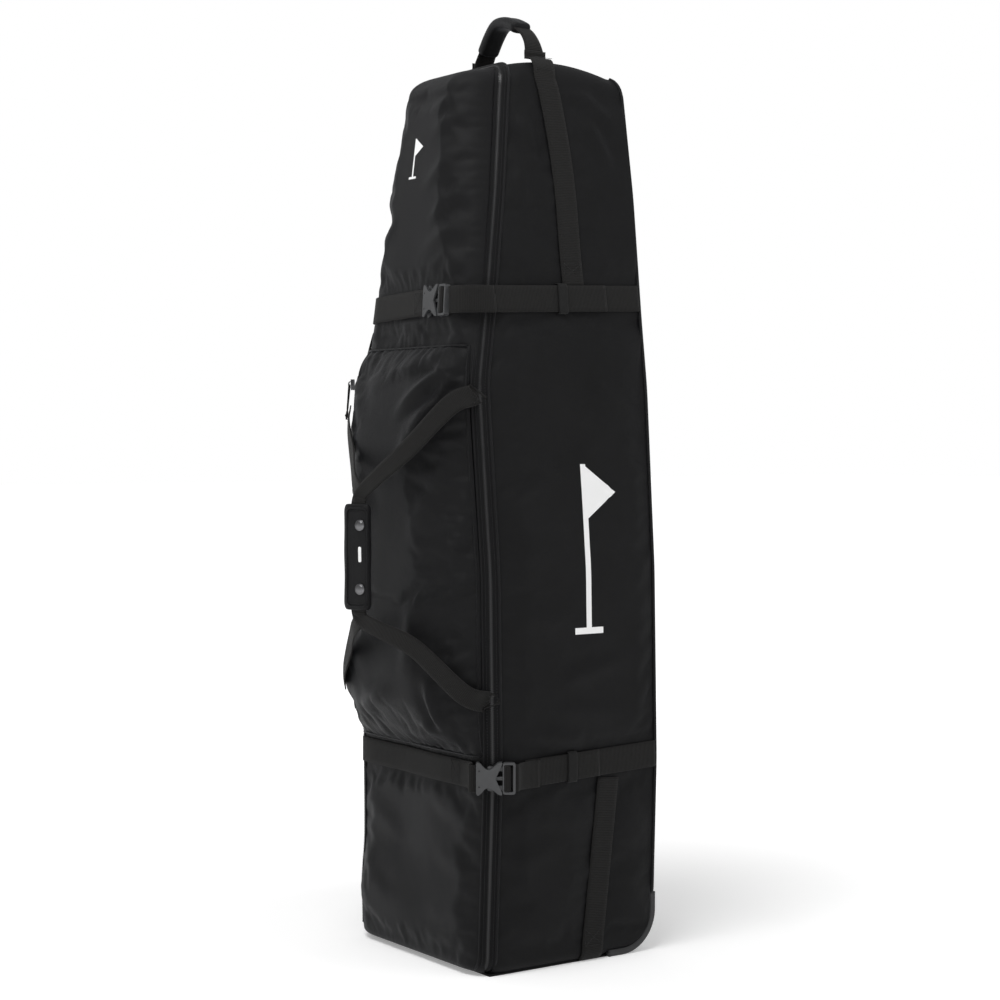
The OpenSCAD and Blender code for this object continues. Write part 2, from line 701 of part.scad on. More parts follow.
module left_wheel_housing() mirror([1, 0, 0]) wheel_housing();

// Rounded bumper that finishes the lower rear corner of each side: a band of one thickness that
// runs back along the floor, round the bend and up the corner
module corner_guard() {
    bend = [back_y - guard_bend, guard_bend + 0.2];
    turn = [for (a = [-90 : 7.5 : 0]) a];
    outer = [for (a = turn) bend + guard_bend * [cos(a), sin(a)]];
    inner = [for (i = [len(turn) - 1 : -1 : 0])
        bend + (guard_bend - guard_t) * [cos(turn[i]), sin(turn[i])]];
    color(plastic_grey) translate([housing_out_x + gap, 0, 0]) rotate([90, 0, 90])
        linear_extrude(17) polygon(concat([[guard_front, 0.2]], outer, [[back_y, guard_rise + 5]],
            [[back_y - guard_t, guard_rise + 5]], inner, [[guard_front, guard_t + 0.2]]));
}

module right_corner_guard() corner_guard();

module left_corner_guard() mirror([1, 0, 0]) corner_guard();

// Moulded plate that joins the two wheel housings across the back
module kick_plate() {
    color(plastic_grey) translate([-housing_in_x + gap, back_y - 4, 3])
        cube([2 * (housing_in_x - gap), 4, housing_top + 6]);
}

module housing_screws() {
    head_r = 4;
    color(plastic_grey) both_sides() for (x = [112, 142])
        translate([x, back_y - 40, housing_top + 0.3 + gap]) {
            cylinder(h = 2.2, r = head_r);
        }
}

module axle() {
    color(plastic_grey) translate([housing_in_x - 2, wheel_y, wheel_r]) rotate([0, 90, 0])
        cylinder(h = housing_out_x - housing_in_x + 2 - gap, r = axle_r);
}

module right_axle() axle();

module left_axle() mirror([1, 0, 0]) axle();

module along_wheel() translate([wheel_x, wheel_y, wheel_r]) rotate([0, 90, 0]) children();

hub_r = 24;
bearing_r = 9;

module tyre() {
    color([0.06, 0.06, 0.06]) along_wheel() rotate_extrude($fn = 64) polygon([
        [hub_r, -wheel_w / 2 + 2], [wheel_r - 4, -wheel_w / 2 + 1], [wheel_r - 0.2, -wheel_w / 2 + 6],
        [wheel_r - 0.2, wheel_w / 2 - 6], [wheel_r - 4, wheel_w / 2 - 1], [hub_r, wheel_w / 2 - 2]]);
}

module hub() {
    color(plastic_grey) along_wheel() difference() {
        union() {
            difference() {
                cylinder(h = wheel_w - 4, r = hub_r - clearance, center = true);
                cylinder(h = wheel_w, r = hub_r - 4, center = true);
            }
            cylinder(h = 5, r = hub_r - 2, center = true);
            cylinder(h = wheel_w - 4, r = bearing_r + 4, center = true);
        }
        cylinder(h = wheel_w, r = axle_r + 1, center = true);
        for (side = [-1, 1]) translate([0, 0, side * (wheel_w / 2 - 2)])
            cylinder(h = 14, r = bearing_r + clearance, center = true);
    }
}

module bearings() {
    color([0.6, 0.6, 0.62]) along_wheel() for (side = [-1, 1])
        translate([0, 0, side * (wheel_w / 2 - 5.4)]) difference() {
            cylinder(h = 6, r = bearing_r, center = true);
            cylinder(h = 8, r = axle_r + clearance, center = true);
        }
}

module right_tyre() tyre();

module right_hub() hub();

module right_bearings() bearings();

module left_tyre() mirror([1, 0, 0]) tyre();

module left_hub() mirror([1, 0, 0]) hub();

module left_bearings() mirror([1, 0, 0]) bearings();

bottom_panel();
base_board();
back_panel();
back_board();
right_side_panel();
left_side_panel();
top_panel();
top_padding();
back_piping();
case_zip_tape();
case_zip_coil();
kick_plate();
right_wheel_housing();
left_wheel_housing();
right_corner_guard();
left_corner_guard();
housing_screws();
right_axle();
left_axle();
right_tyre();
right_hub();
right_bearings();
left_tyre();
left_hub();
left_bearings();
handle_webbing();
handle_wrap();
upper_side_webbing();
lower_side_webbing();
upper_strap_base();
lower_strap_base();
upper_strap_tail();
lower_strap_tail();
upper_strap_keeper();
lower_strap_keeper();
upper_strap_over();
lower_strap_over();
lid_panel();
lid_zip_tape();
lid_zip_coil();
pocket_panel();
pocket_gusset_right();
pocket_gusset_left();
pocket_zip();
upper_strap_front();
lower_strap_front();
upper_buckle_socket();
lower_buckle_socket();
upper_buckle_plug();
lower_buckle_plug();
grip_webbing_right();
grip_webbing_left();
grip_wrap();
grip_snaps();
main_zip_slider();
main_zip_puller();
inner_cinch_straps();
inner_cinch_buckles();
pocket_zip_slider();
pocket_zip_puller();
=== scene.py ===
"""Looks of the golf travel case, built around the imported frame, in metres."""
import json
import math
import random

import bmesh
import bpy
import numpy as np
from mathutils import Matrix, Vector
from mathutils.geometry import tessellate_polygon


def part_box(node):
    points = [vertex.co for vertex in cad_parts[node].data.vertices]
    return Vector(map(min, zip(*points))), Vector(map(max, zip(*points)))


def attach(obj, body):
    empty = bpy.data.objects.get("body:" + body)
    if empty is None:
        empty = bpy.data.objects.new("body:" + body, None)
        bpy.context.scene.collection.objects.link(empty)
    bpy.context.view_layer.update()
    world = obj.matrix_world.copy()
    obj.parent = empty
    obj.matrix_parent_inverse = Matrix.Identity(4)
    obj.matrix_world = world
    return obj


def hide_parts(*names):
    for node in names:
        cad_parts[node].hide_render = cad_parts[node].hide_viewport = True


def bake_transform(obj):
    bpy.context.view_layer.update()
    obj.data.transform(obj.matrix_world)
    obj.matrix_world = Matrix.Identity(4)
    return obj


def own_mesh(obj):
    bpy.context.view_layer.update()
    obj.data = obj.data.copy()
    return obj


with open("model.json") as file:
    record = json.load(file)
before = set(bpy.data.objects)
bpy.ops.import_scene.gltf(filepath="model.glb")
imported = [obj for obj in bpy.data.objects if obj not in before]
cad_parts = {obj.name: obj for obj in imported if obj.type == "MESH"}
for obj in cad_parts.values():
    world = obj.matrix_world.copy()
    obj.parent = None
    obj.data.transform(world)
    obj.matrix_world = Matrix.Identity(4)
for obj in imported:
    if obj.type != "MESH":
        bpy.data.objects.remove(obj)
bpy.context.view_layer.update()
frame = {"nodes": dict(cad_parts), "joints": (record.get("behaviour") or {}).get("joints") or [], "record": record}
nodes = frame["nodes"]
joints = {joint["name"]: joint for joint in frame["joints"]}

# ---------------------------------------------------------------- camera, light, floor

VIEW_AZIMUTH = math.radians(55)
VIEW_PITCH = math.radians(1.64)
VIEW_DISTANCE = 3.1
VIEW_HEIGHT = 0.745
VIEW_LENS = 75.6


def add_camera():
    camera = bpy.data.objects.new("camera", bpy.data.cameras.new("camera"))
    camera.data.lens = VIEW_LENS
    camera.data.sensor_width = 36
    camera.location = (VIEW_DISTANCE * math.sin(VIEW_AZIMUTH),
                       -VIEW_DISTANCE * math.cos(VIEW_AZIMUTH), VIEW_HEIGHT)
    camera.rotation_euler = (math.pi / 2 - VIEW_PITCH, 0, VIEW_AZIMUTH)
    bpy.context.scene.collection.objects.link(camera)
    bpy.context.scene.camera = camera


def add_light(name, azimuth, elevation, distance, size, power):
    """Soft square light aimed at the middle of the case, placed by compass angle from the front."""
    light = bpy.data.objects.new(name, bpy.data.lights.new(name, "AREA"))
    light.data.energy = power
    light.data.size = size
    a, e = math.radians(azimuth), math.radians(elevation)
    target = Vector((0, 0, 0.65))
    offset = Vector((math.sin(a) * math.cos(e), -math.cos(a) * math.cos(e), math.sin(e)))
    light.location = target + offset * distance
    light.rotation_euler = (target - light.location).to_track_quat("-Z", "Y").to_euler()
    bpy.context.scene.collection.objects.link(light)


def set_studio():
    world = bpy.data.worlds.new("studio")
    world.use_nodes = True
    tree = world.node_tree
    seen = tree.nodes.new("ShaderNodeLightPath").outputs["Is Camera Ray"]
    level = tree.nodes.new("ShaderNodeMapRange")
    tree.links.new(seen, level.inputs["Value"])
    level.inputs["To Min"].default_value = 0.42
    level.inputs["To Max"].default_value = 1.0
    tree.links.new(level.outputs["Result"], tree.nodes["Background"].inputs["Strength"])
    tree.nodes["Background"].inputs["Color"].default_value = (1, 1, 1, 1)
    bpy.context.scene.world = world
    bpy.context.scene.view_settings.view_transform = "Standard"
    add_light("key", 28, 62, 3.2, 1.5, 64)
    add_light("fill", -75, 30, 3.2, 1.6, 8)
    add_light("side", 118, 35, 3.4, 1.4, 11)
    mesh = bpy.data.meshes.new("floor")
    reach = 30
    mesh.from_pydata([(-reach, -reach, 0), (reach, -reach, 0), (reach, reach, 0), (-reach, reach, 0)],
                     [], [(0, 1, 2, 3)])
    floor = bpy.data.objects.new("floor", mesh)
    bpy.context.scene.collection.objects.link(floor)
    paper = Graph("floor_paper", (0.93, 0.93, 0.93), 0.9, Specular_IOR_Level=0.1)
    paper.set("Emission Color", (1, 1, 1, 1))
    length = paper.node("ShaderNodeVectorMath", i0=paper.place())
    length.operation = "LENGTH"
    paper.set("Emission Strength", paper.ramp(length.outputs["Value"], 0.45, 1.9, 0.27, 0.75))
    mesh.materials.append(paper.material)


# ---------------------------------------------------------------- materials


class Graph:
    """Short form for building a shader's node tree."""

    def __init__(self, name, color, rough, **sockets):
        self.material = bpy.data.materials.new(name)
        self.material.use_nodes = True
        self.tree = self.material.node_tree
        self.shader = self.tree.nodes["Principled BSDF"]
        self.set("Base Color", (*color, 1))
        self.set("Roughness", rough)
        for socket, value in sockets.items():
            self.set(socket.replace("_", " "), value)

    def set(self, socket, value):
        if hasattr(value, "links"):
            self.tree.links.new(value, self.shader.inputs[socket])
        else:
            self.shader.inputs[socket].default_value = value

    def node(self, kind, **inputs):
        made = self.tree.nodes.new(kind)
        for key, value in inputs.items():
            slot = made.inputs[int(key[1:])] if key[0] == "i" and key[1:].isdigit() else made.inputs[key]
            if hasattr(value, "links"):
                self.tree.links.new(value, slot)
            else:
                slot.default_value = value
        return made

    def math(self, operation, a, b=0.0, c=0.0):
        made = self.node("ShaderNodeMath", i0=a, i1=b, i2=c)
        made.operation = operation
        return made.outputs[0]

    def weave(self):
        """The piece's own cloth coordinates in metres: across, along and a third value."""
        made = self.node("ShaderNodeAttribute")
        made.attribute_name = "weave"
        made.attribute_type = "GEOMETRY"
        return made.outputs["Vector"]

    def place(self):
        return self.node("ShaderNodeTexCoord").outputs["Object"]

    def noise(self, vector, scale, detail=3.0, rough=0.5):
        made = self.node("ShaderNodeTexNoise", Vector=vector, Scale=scale, Detail=detail, Roughness=rough)
        return made.outputs["Fac"]

    def ramp(self, value, low, high, out_low, out_high):
        made = self.node("ShaderNodeMapRange", i0=value, i1=low, i2=high, i3=out_low, i4=out_high)
        return made.outputs[0]

    def tint(self, value, dark, light):
        made = self.node("ShaderNodeMix", Factor=value)
        made.data_type = "RGBA"
        made.inputs[6].default_value = (*dark, 1)
        made.inputs[7].default_value = (*light, 1)
        self.tree.links.new(value, made.inputs[0])
        return made.outputs[2]

    def bump(self, height, distance, strength=1.0, under=None):
        made = self.node("ShaderNodeBump", Height=height, Distance=distance, Strength=strength)
        if under is not None:
            self.tree.links.new(under, made.inputs["Normal"])
        return made.outputs["Normal"]


def sine(graph, value, pitch):
    return graph.math("SINE", graph.math("MULTIPLY", value, 2 * math.pi / pitch))


def polyester(name, color, rough, sheen, pitch=0.0011, print_mask=None):
    """Coated plain-weave polyester: fine weave, slow colour drift and a soft sheen."""
    graph = Graph(name, color, rough, Sheen_Weight=sheen, Sheen_Roughness=0.4, Specular_IOR_Level=0.13)
    graph.set("Sheen Tint", (0.9, 0.93, 1.0, 1))
    cloth = graph.weave()
    parts = graph.node("ShaderNodeSeparateXYZ", Vector=cloth)
    warp = sine(graph, parts.outputs[0], pitch)
    weft = sine(graph, parts.outputs[1], pitch)
    threads = graph.math("MULTIPLY", warp, weft)
    drift = graph.noise(cloth, 9.0, 4.0, 0.6)
    grain = graph.noise(cloth, 900.0, 2.0, 0.7)
    dark = tuple(c * 0.82 for c in color)
    light = tuple(c * 1.22 for c in color)
    tone = graph.tint(graph.ramp(drift, 0.3, 0.7, 0.0, 1.0), dark, light)
    if print_mask is not None:
        mask = print_mask(graph, parts)
        mixed = graph.node("ShaderNodeMix")
        mixed.data_type = "RGBA"
        graph.tree.links.new(mask, mixed.inputs[0])
        graph.tree.links.new(tone, mixed.inputs[6])
        mixed.inputs[7].default_value = (0.82, 0.82, 0.82, 1)
        tone = mixed.outputs[2]
    graph.set("Base Color", tone)
    graph.set("Roughness", graph.ramp(grain, 0.2, 0.8, rough - 0.07, rough + 0.07))
    soft = graph.noise(cloth, 55.0, 3.0, 0.55)
    normal = graph.bump(soft, 0.0008, 0.5)
    graph.set("Normal", graph.bump(graph.math("ADD", threads, grain), 0.00012, 0.6, normal))
    return graph.material


def webbing_cloth(name, color, rib=0.0024):
    """Woven strap: crosswise ribs and a finer lengthwise weave."""
    graph = Graph(name, color, 0.72, Sheen_Weight=0.05, Sheen_Roughness=0.5, Specular_IOR_Level=0.1)
    cloth = graph.weave()
    parts = graph.node("ShaderNodeSeparateXYZ", Vector=cloth)
    ribs = sine(graph, parts.outputs[1], rib)
    threads = sine(graph, parts.outputs[0], 0.0016)
    fuzz = graph.noise(cloth, 700.0, 3.0, 0.7)
    height = graph.math("ADD", graph.math("MULTIPLY", ribs, 0.6), graph.math("MULTIPLY", threads, 0.35))
    # Colour follows the rib and thread relief plus random fuzz: painted shade in the grooves and a painted highlight
    # on the crests.
    tone = graph.ramp(graph.math("ADD", height, fuzz), -0.6, 1.6, 0.0, 1.0)
    graph.set("Base Color", graph.tint(tone, tuple(c * 0.55 for c in color), tuple(c * 1.5 for c in color)))
    graph.set("Normal", graph.bump(height, 0.0003, 0.9))
    return graph.material


def moulded(name, color, rough, grain_scale=1400.0, depth=0.00012):
    """Moulded plastic: fine spark-eroded grain, faint scuffs and a little gloss change."""
    graph = Graph(name, color, rough, Specular_IOR_Level=0.45)
    place = graph.place()
    grain = graph.noise(place, grain_scale, 2.0, 0.6)
    scuff = graph.noise(place, 38.0, 6.0, 0.75)
    graph.set("Base Color", graph.tint(graph.ramp(scuff, 0.35, 0.75, 0.0, 1.0),
                                       tuple(c * 0.85 for c in color), tuple(c * 1.3 for c in color)))
    graph.set("Roughness", graph.ramp(scuff, 0.3, 0.8, rough - 0.08, rough + 0.12))
    graph.set("Normal", graph.bump(grain, depth, 0.5))
    return graph.material


def metal(name, color, rough):
    """Lacquered or ground metal with fine brushed marks."""
    graph = Graph(name, color, rough, Metallic=1.0)
    place = graph.place()
    marks = graph.noise(place, 260.0, 5.0, 0.7)
    graph.set("Roughness", graph.ramp(marks, 0.3, 0.7, rough - 0.08, rough + 0.12))
    graph.set("Base Color", graph.tint(marks, tuple(c * 0.8 for c in color), tuple(c * 1.15 for c in color)))
    graph.set("Normal", graph.bump(marks, 0.00005, 0.5))
    return graph.material


def rubber(name, color):
    graph = Graph(name, color, 0.6, Specular_IOR_Level=0.4)
    place = graph.place()
    dust = graph.noise(place, 60.0, 6.0, 0.7)
    graph.set("Base Color", graph.tint(graph.ramp(dust, 0.4, 0.75, 0.0, 1.0), color, (0.09, 0.088, 0.085)))
    graph.set("Normal", graph.bump(graph.noise(place, 900.0, 2.0), 0.0001, 0.5))
    return graph.material


def pennant_mask(across, along, pole, flag_wide, flag_high, thick):
    """Print mask of a plain flagstick: a thin pole with a three-cornered flag at its top."""
    def mask(graph, parts):
        u = graph.math("SUBTRACT", parts.outputs[0], across)
        v = graph.math("SUBTRACT", parts.outputs[1], along)
        in_pole = graph.math("MULTIPLY",
                             graph.math("LESS_THAN", graph.math("ABSOLUTE", u), thick / 2),
                             graph.math("LESS_THAN", graph.math("ABSOLUTE", graph.math(
                                 "SUBTRACT", v, pole / 2)), pole / 2))
        from_tip = graph.math("SUBTRACT", pole - flag_high / 2, v)
        reach = graph.math("MULTIPLY_ADD", graph.math("ABSOLUTE", from_tip), -2 * flag_wide / flag_high,
                           flag_wide)
        in_flag = graph.math("MULTIPLY", graph.math("GREATER_THAN", u, 0.0),
                             graph.math("LESS_THAN", u, reach))
        base = graph.math("MULTIPLY",
                          graph.math("LESS_THAN", graph.math("ABSOLUTE", u), flag_wide * 0.45),
                          graph.math("LESS_THAN", graph.math("ABSOLUTE", v), thick / 2))
        return graph.math("MAXIMUM", graph.math("MAXIMUM", in_pole, in_flag), base)
    return mask


def dash_mask(across, along, long, thick):
    """Print mask of one short dash with round ends, lying lengthwise."""
    def mask(graph, parts):
        u = graph.math("SUBTRACT", parts.outputs[0], across)
        v = graph.math("SUBTRACT", graph.math("ABSOLUTE", graph.math("SUBTRACT", parts.outputs[1], along)),
                       long / 2 - thick / 2)
        v = graph.math("MAXIMUM", v, 0.0)
        reach = graph.math("ADD", graph.math("MULTIPLY", u, u), graph.math("MULTIPLY", v, v))
        front = graph.math("GREATER_THAN", parts.outputs[2], 0.0)
        return graph.math("MULTIPLY", front, graph.math("LESS_THAN", reach, thick * thick / 4))
    return mask


SIDE_PRINT = pennant_mask(0.158, 0.475, 0.235, 0.055, 0.08, 0.009)
LID_PRINT = pennant_mask(-0.012, 1.12, 0.056, 0.02, 0.026, 0.0032)

side_cloth = polyester("side_polyester", (0.0052, 0.0052, 0.0056), 0.62, 0.03)
print_cloth = polyester("side_polyester_printed", (0.0052, 0.0052, 0.0056), 0.62, 0.03, print_mask=SIDE_PRINT)
lid_cloth = polyester("lid_polyester", (0.0058, 0.0058, 0.0063), 0.54, 0.04, print_mask=LID_PRINT)
pocket_cloth = polyester("pocket_polyester", (0.0055, 0.0055, 0.006), 0.54, 0.04)
lining = polyester("lining", (0.03, 0.031, 0.034), 0.65, 0.1, 0.0016)
tape_cloth = webbing_cloth("zip_tape", (0.0055, 0.0055, 0.006), 0.0012)
strap_cloth = webbing_cloth("webbing", (0.0105, 0.0102, 0.0099))
elastic_cloth = webbing_cloth("elastic", (0.011, 0.011, 0.011), 0.0016)
coil_plastic = moulded("zip_coil", (0.016, 0.016, 0.017), 0.38)
piping_cloth = polyester("piping", (0.0065, 0.0065, 0.007), 0.5, 0.08, 0.0008)
pad_cloth = polyester("pad_cloth", (0.0075, 0.0075, 0.008), 0.5, 0.08, 0.0009)
grip_cloth = polyester("grip_cloth", (0.0075, 0.0075, 0.008), 0.5, 0.08, 0.0009, dash_mask(0.0, 0.004, 0.022, 0.0045))
foam_cloth = polyester("foam_cloth", (0.045, 0.046, 0.05), 0.75, 0.2, 0.0014)
buckle_plastic = moulded("buckle_plastic", (0.04, 0.041, 0.043), 0.42)
guard_plastic = moulded("guard_plastic", (0.016, 0.016, 0.017), 0.5, 700.0, 0.0003)
board_plastic = moulded("board_plastic", (0.05, 0.05, 0.052), 0.55, 500.0)
hub_plastic = moulded("hub_plastic", (0.06, 0.06, 0.065), 0.4)
dark_metal = metal("dark_metal", (0.09, 0.09, 0.095), 0.38)
snap_metal = metal("snap_metal", (0.16, 0.16, 0.165), 0.33)
ground_metal = metal("ground_metal", (0.55, 0.55, 0.56), 0.3)
tyre_rubber = rubber("tyre_rubber", (0.014, 0.014, 0.014))
thread = moulded("thread", (0.022, 0.022, 0.023), 0.6)

add_camera()
set_studio()

# ---------------------------------------------------------------- frame measures


def middle(node):
    low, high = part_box(node)
    return (low + high) / 2


BOTTOM_ROUND = 0.016
TOP_ROUND = 0.030
DOME_RISE = 0.013
DOME_Y = 0.045
DOME_REACH = 0.095
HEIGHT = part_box("top_panel")[1].z - DOME_RISE
BACK_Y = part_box("back_panel")[1].y
BACK_CORNER = 0.011
TUCK_RUN = 0.028
TUCK_IN = 0.008
CORNER_RUN = 0.045
SEAM_ANGLE = math.radians(25)
WALL = 0.003
WEBBING = 0.038
WEBBING_T = 0.0018
UPPER_Z = middle("upper_buckle_socket").z
LOWER_Z = middle("lower_buckle_socket").z
STRAP_CLIMB = 0.04
CLIMB_FROM = 0.110
POCKET_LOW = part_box("pocket_panel")[0].z
POCKET_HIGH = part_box("pocket_panel")[1].z
POCKET_DEPTH = 0.044
POCKET_SAG = 0.009
HINGE_TOP = 0.86
# Rows of a CAD wall that don't reach this far forward belong to its domed top or its wheel corner.
FRONT_ROWS = -0.05


def vertices(node):
    return np.array([v.co for v in nodes[node].data.vertices])


def profile(node, axis, pick):
    """Smooth curve of a CAD wall's outermost coordinate against height."""
    low, high = 0.021, HEIGHT - 0.029
    points = vertices(node)
    heights, counts = np.unique(points[:, 2].round(4), return_counts=True)
    heights = heights[(counts >= 6) & (heights >= low) & (heights <= high)]
    heights = [z for z in heights if points[abs(points[:, 2] - z) < 1e-4][:, 1].min() < FRONT_ROWS]
    values = [pick(points[abs(points[:, 2] - z) < 1e-4][:, axis]) for z in heights]
    fine = np.arange(-0.1, HEIGHT + 0.1, 0.002)
    line = np.interp(fine, heights, values)
    below, above = fine < heights[0], fine > heights[-1]
    line[below] = values[0] + (fine[below] - heights[0]) * (values[1] - values[0]) / (heights[1] - heights[0])
    line[above] = values[-1] + (fine[above] - heights[-1]) * (
        (values[-1] - values[-2]) / (heights[-1] - heights[-2]))
    kernel = np.hanning(33)
    smooth = np.convolve(line, kernel / kernel.sum(), "same")
    keep = slice(20, -20)
    return lambda z: np.interp(z, fine[keep], smooth[keep])


half_w = profile("right_side_panel", 0, max)
seam_y = profile("right_side_panel", 1, min)
front_y = profile("lid_panel", 1, min)


def round_in(radius, distance):
    d = np.clip(distance, 0, radius)
    return radius - np.sqrt(np.maximum(0, radius ** 2 - (radius - d) ** 2))


def edge_in(z):
    return round_in(BOTTOM_ROUND, z) + round_in(TOP_ROUND, HEIGHT - z)


def tuck(d):
    return TUCK_IN * np.clip(1 - d / TUCK_RUN, 0, 1) ** 2


def top_rise(y):
    """How far the soft top stands up at y."""
    return DOME_RISE * np.clip(1 - ((np.asarray(y, float) - DOME_Y) / DOME_REACH) ** 2, 0, 1)


def rise_share(z):
    """Share of the top's rise that a side wall has at height z."""
    return np.clip((np.asarray(z, float) - 1.1) / (HEIGHT - 1.1), 0, 1)


def strap_z(y, z):
    """Height at y of a cinch strap that sets out at z and climbs towards the back."""
    return z + STRAP_CLIMB * np.maximum(0, np.asarray(y, float) + CLIMB_FROM)


def smoothstep(t):
    t = np.clip(t, 0, 1)
    return t * t * (3 - 2 * t)


# ---------------------------------------------------------------- mesh tools


def unit(v):
    v = np.asarray(v, float)
    return v / np.linalg.norm(v, axis=-1, keepdims=True)


def new_object(name, points, faces, weave=None, smooth=True):
    mesh = bpy.data.meshes.new(name)
    mesh.from_pydata([tuple(p) for p in points], [], faces)
    mesh.update()
    if weave is not None:
        attribute = mesh.attributes.new("weave", "FLOAT_VECTOR", "POINT")
        attribute.data.foreach_set("vector", np.asarray(weave, np.float32).ravel())
    if smooth:
        mesh.shade_smooth()
    made = bpy.data.objects.new(name, mesh)
    bpy.context.scene.collection.objects.link(made)
    return made


def grid_faces(rows, cols, wrap=False):
    """Quads of a grid of points, rows upwards and columns counterclockwise seen from above."""
    faces = []
    for r in range(rows - 1):
        for c in range(cols if wrap else cols - 1):
            d = (c + 1) % cols
            faces.append((r * cols + c, r * cols + d, (r + 1) * cols + d, (r + 1) * cols + c))
    return faces


def grid_normals(grid):
    along = np.gradient(grid, axis=1)
    up = np.gradient(grid, axis=0)
    return unit(np.cross(along, up) + 1e-12)


def grid_object(name, grid, weave):
    rows, cols = grid.shape[:2]
    return new_object(name, grid.reshape(-1, 3), grid_faces(rows, cols), weave.reshape(-1, 3))


def finish(piece, body, slot, materials, *replaced):
    """Materials and body of a piece, and hides the parts it replaces; the slot is not used. A blended piece rides on
    no body.
    """
    for material in materials if isinstance(materials, (list, tuple)) else [materials]:
        piece.data.materials.append(material)
    if body:
        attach(piece, body)
    if replaced:
        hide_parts(*replaced)
    return piece


def thicken(piece, thickness, lined=True):
    """Gives a sheet its thickness on the inner side, with the lining's material there."""
    solid = piece.modifiers.new("thickness", "SOLIDIFY")
    solid.thickness = thickness
    solid.offset = -1
    if lined:
        solid.material_offset = 1
        solid.material_offset_rim = 0


def subdivide(piece):
    rounder = piece.modifiers.new("rounder", "SUBSURF")
    rounder.levels = rounder.render_levels = 1


def bevel(piece, width, segments=2):
    edge = piece.modifiers.new("edge", "BEVEL")
    edge.width = width
    edge.segments = segments
    edge.limit_method = "ANGLE"
    edge.angle_limit = math.radians(40)


def apply_modifiers(piece):
    graph = bpy.context.evaluated_depsgraph_get()
    mesh = bpy.data.meshes.new_from_object(piece.evaluated_get(graph))
    old = piece.data
    piece.modifiers.clear()
    piece.data = mesh
    bpy.data.meshes.remove(old)
    return piece


def join(name, pieces):
    """One object from several, keeping their materials."""
    for piece in pieces:
        if piece.modifiers:
            apply_modifiers(piece)
    with bpy.context.temp_override(active_object=pieces[0], object=pieces[0],
                                   selected_objects=pieces, selected_editable_objects=pieces):
        bpy.ops.object.join()
    pieces[0].name = name
    return pieces[0]


def curve_points(points, step=0.004):
    """Catmull-Rom curve through points, spaced by about step. Rows may hold extra columns."""
    points = np.asarray(points, float)
    padded = np.vstack([2 * points[0] - points[1], points, 2 * points[-1] - points[-2]])
    out = []
    for i in range(len(points) - 1):
        a, b, c, d = padded[i:i + 4]
        count = max(2, int(np.linalg.norm((c - b)[:3]) / step))
        for t in np.arange(count) / count:
            out.append(0.5 * (2 * b + (c - a) * t + (2 * a - 5 * b + 4 * c - d) * t ** 2
                              + (3 * b - a - 3 * c + d) * t ** 3))
    out.append(points[-1])
    return np.array(out)


def sweep(name, path, normals, section):
    """Carries a flat section, listed as (across, out) pairs, along a path with outward normals."""
    path, section = np.asarray(path, float), np.asarray(section, float)
    tangent = unit(np.gradient(path, axis=0))
    normals = np.asarray(normals, float)
    normals = unit(normals - tangent * np.sum(normals * tangent, axis=1, keepdims=True))
    across = np.cross(tangent, normals)
    rings = (path[:, None] + across[:, None] * section[None, :, :1] + normals[:, None] * section[None, :, 1:])
    gaps = np.linalg.norm(np.diff(path, axis=0), axis=1)
    length = np.concatenate([[0], np.cumsum(gaps)])
    weave = np.zeros(rings.shape)
    weave[..., 0] = section[None, :, 0]
    weave[..., 1] = length[:, None]
    weave[..., 2] = section[None, :, 1]
    count, size = len(path), len(section)
    faces = []
    for i in range(count - 1):
        for k in range(size):
            m = (k + 1) % size
            faces.append((i * size + k, (i + 1) * size + k, (i + 1) * size + m, i * size + m))
    faces.append(tuple(range(size)))
    faces.append(tuple(reversed(range((count - 1) * size, count * size))))
    return new_object(name, rings.reshape(-1, 3), faces, weave.reshape(-1, 3))


def strap_section(width, thick):
    """Section of flat webbing with soft edges."""
    half, soft = width / 2, thick * 0.35
    top = [(x, thick) for x in np.linspace(half - soft, soft - half, 7)]
    bottom = [(x, 0) for x in np.linspace(soft - half, half - soft, 7)]
    return [(half, thick / 2)] + top + [(-half, thick / 2)] + bottom


def round_section(radius, sides=8):
    return [(radius * math.cos(t), radius * math.sin(t)) for t in np.arange(sides) * 2 * math.pi / sides]


def strap(name, points, normals, width=WEBBING, thick=WEBBING_T, step=0.004):
    both = curve_points(np.hstack([np.asarray(points, float), np.asarray(normals, float)]), step)
    return sweep(name, both[:, :3], both[:, 3:], strap_section(width, thick))


def stitches(name, path, normals, pitch=0.0042, long=0.0028):
    """A row of thread stitches, each a small flattened bead, along a path."""
    thick, lift = 0.0007, 0.0001
    path, normals = np.asarray(path, float), np.asarray(normals, float)
    gaps = np.linalg.norm(np.diff(path, axis=0), axis=1)
    length = np.concatenate([[0], np.cumsum(gaps)])
    at = np.arange(pitch / 2, length[-1], pitch)
    centre = np.stack([np.interp(at, length, path[:, k]) for k in range(3)], axis=1)
    ahead = np.stack([np.interp(at + 1e-3, length, path[:, k]) for k in range(3)], axis=1)
    behind = np.stack([np.interp(at - 1e-3, length, path[:, k]) for k in range(3)], axis=1)
    out = unit(np.stack([np.interp(at, length, normals[:, k]) for k in range(3)], axis=1))
    tangent = unit(ahead - behind + 1e-12)
    side = np.cross(tangent, out)
    points, faces = [], []
    shape = [(-0.5, 0, 0), (0.5, 0, 0), (0, 0.5, 0), (0, -0.5, 0), (-0.3, 0, 0.8), (0.3, 0, 0.8)]
    quads = [(0, 3, 4), (3, 1, 5, 4), (1, 2, 5), (2, 0, 4, 5), (0, 2, 1, 3)]
    for i in range(len(at)):
        base = len(points)
        for a, b, c in shape:
            points.append(centre[i] + tangent[i] * a * long + side[i] * b * thick + out[i] * (c * thick + lift))
        faces += [tuple(base + k for k in quad) for quad in quads]
    piece = new_object(name, points, faces, smooth=False)
    piece.data.materials.append(thread)
    return piece


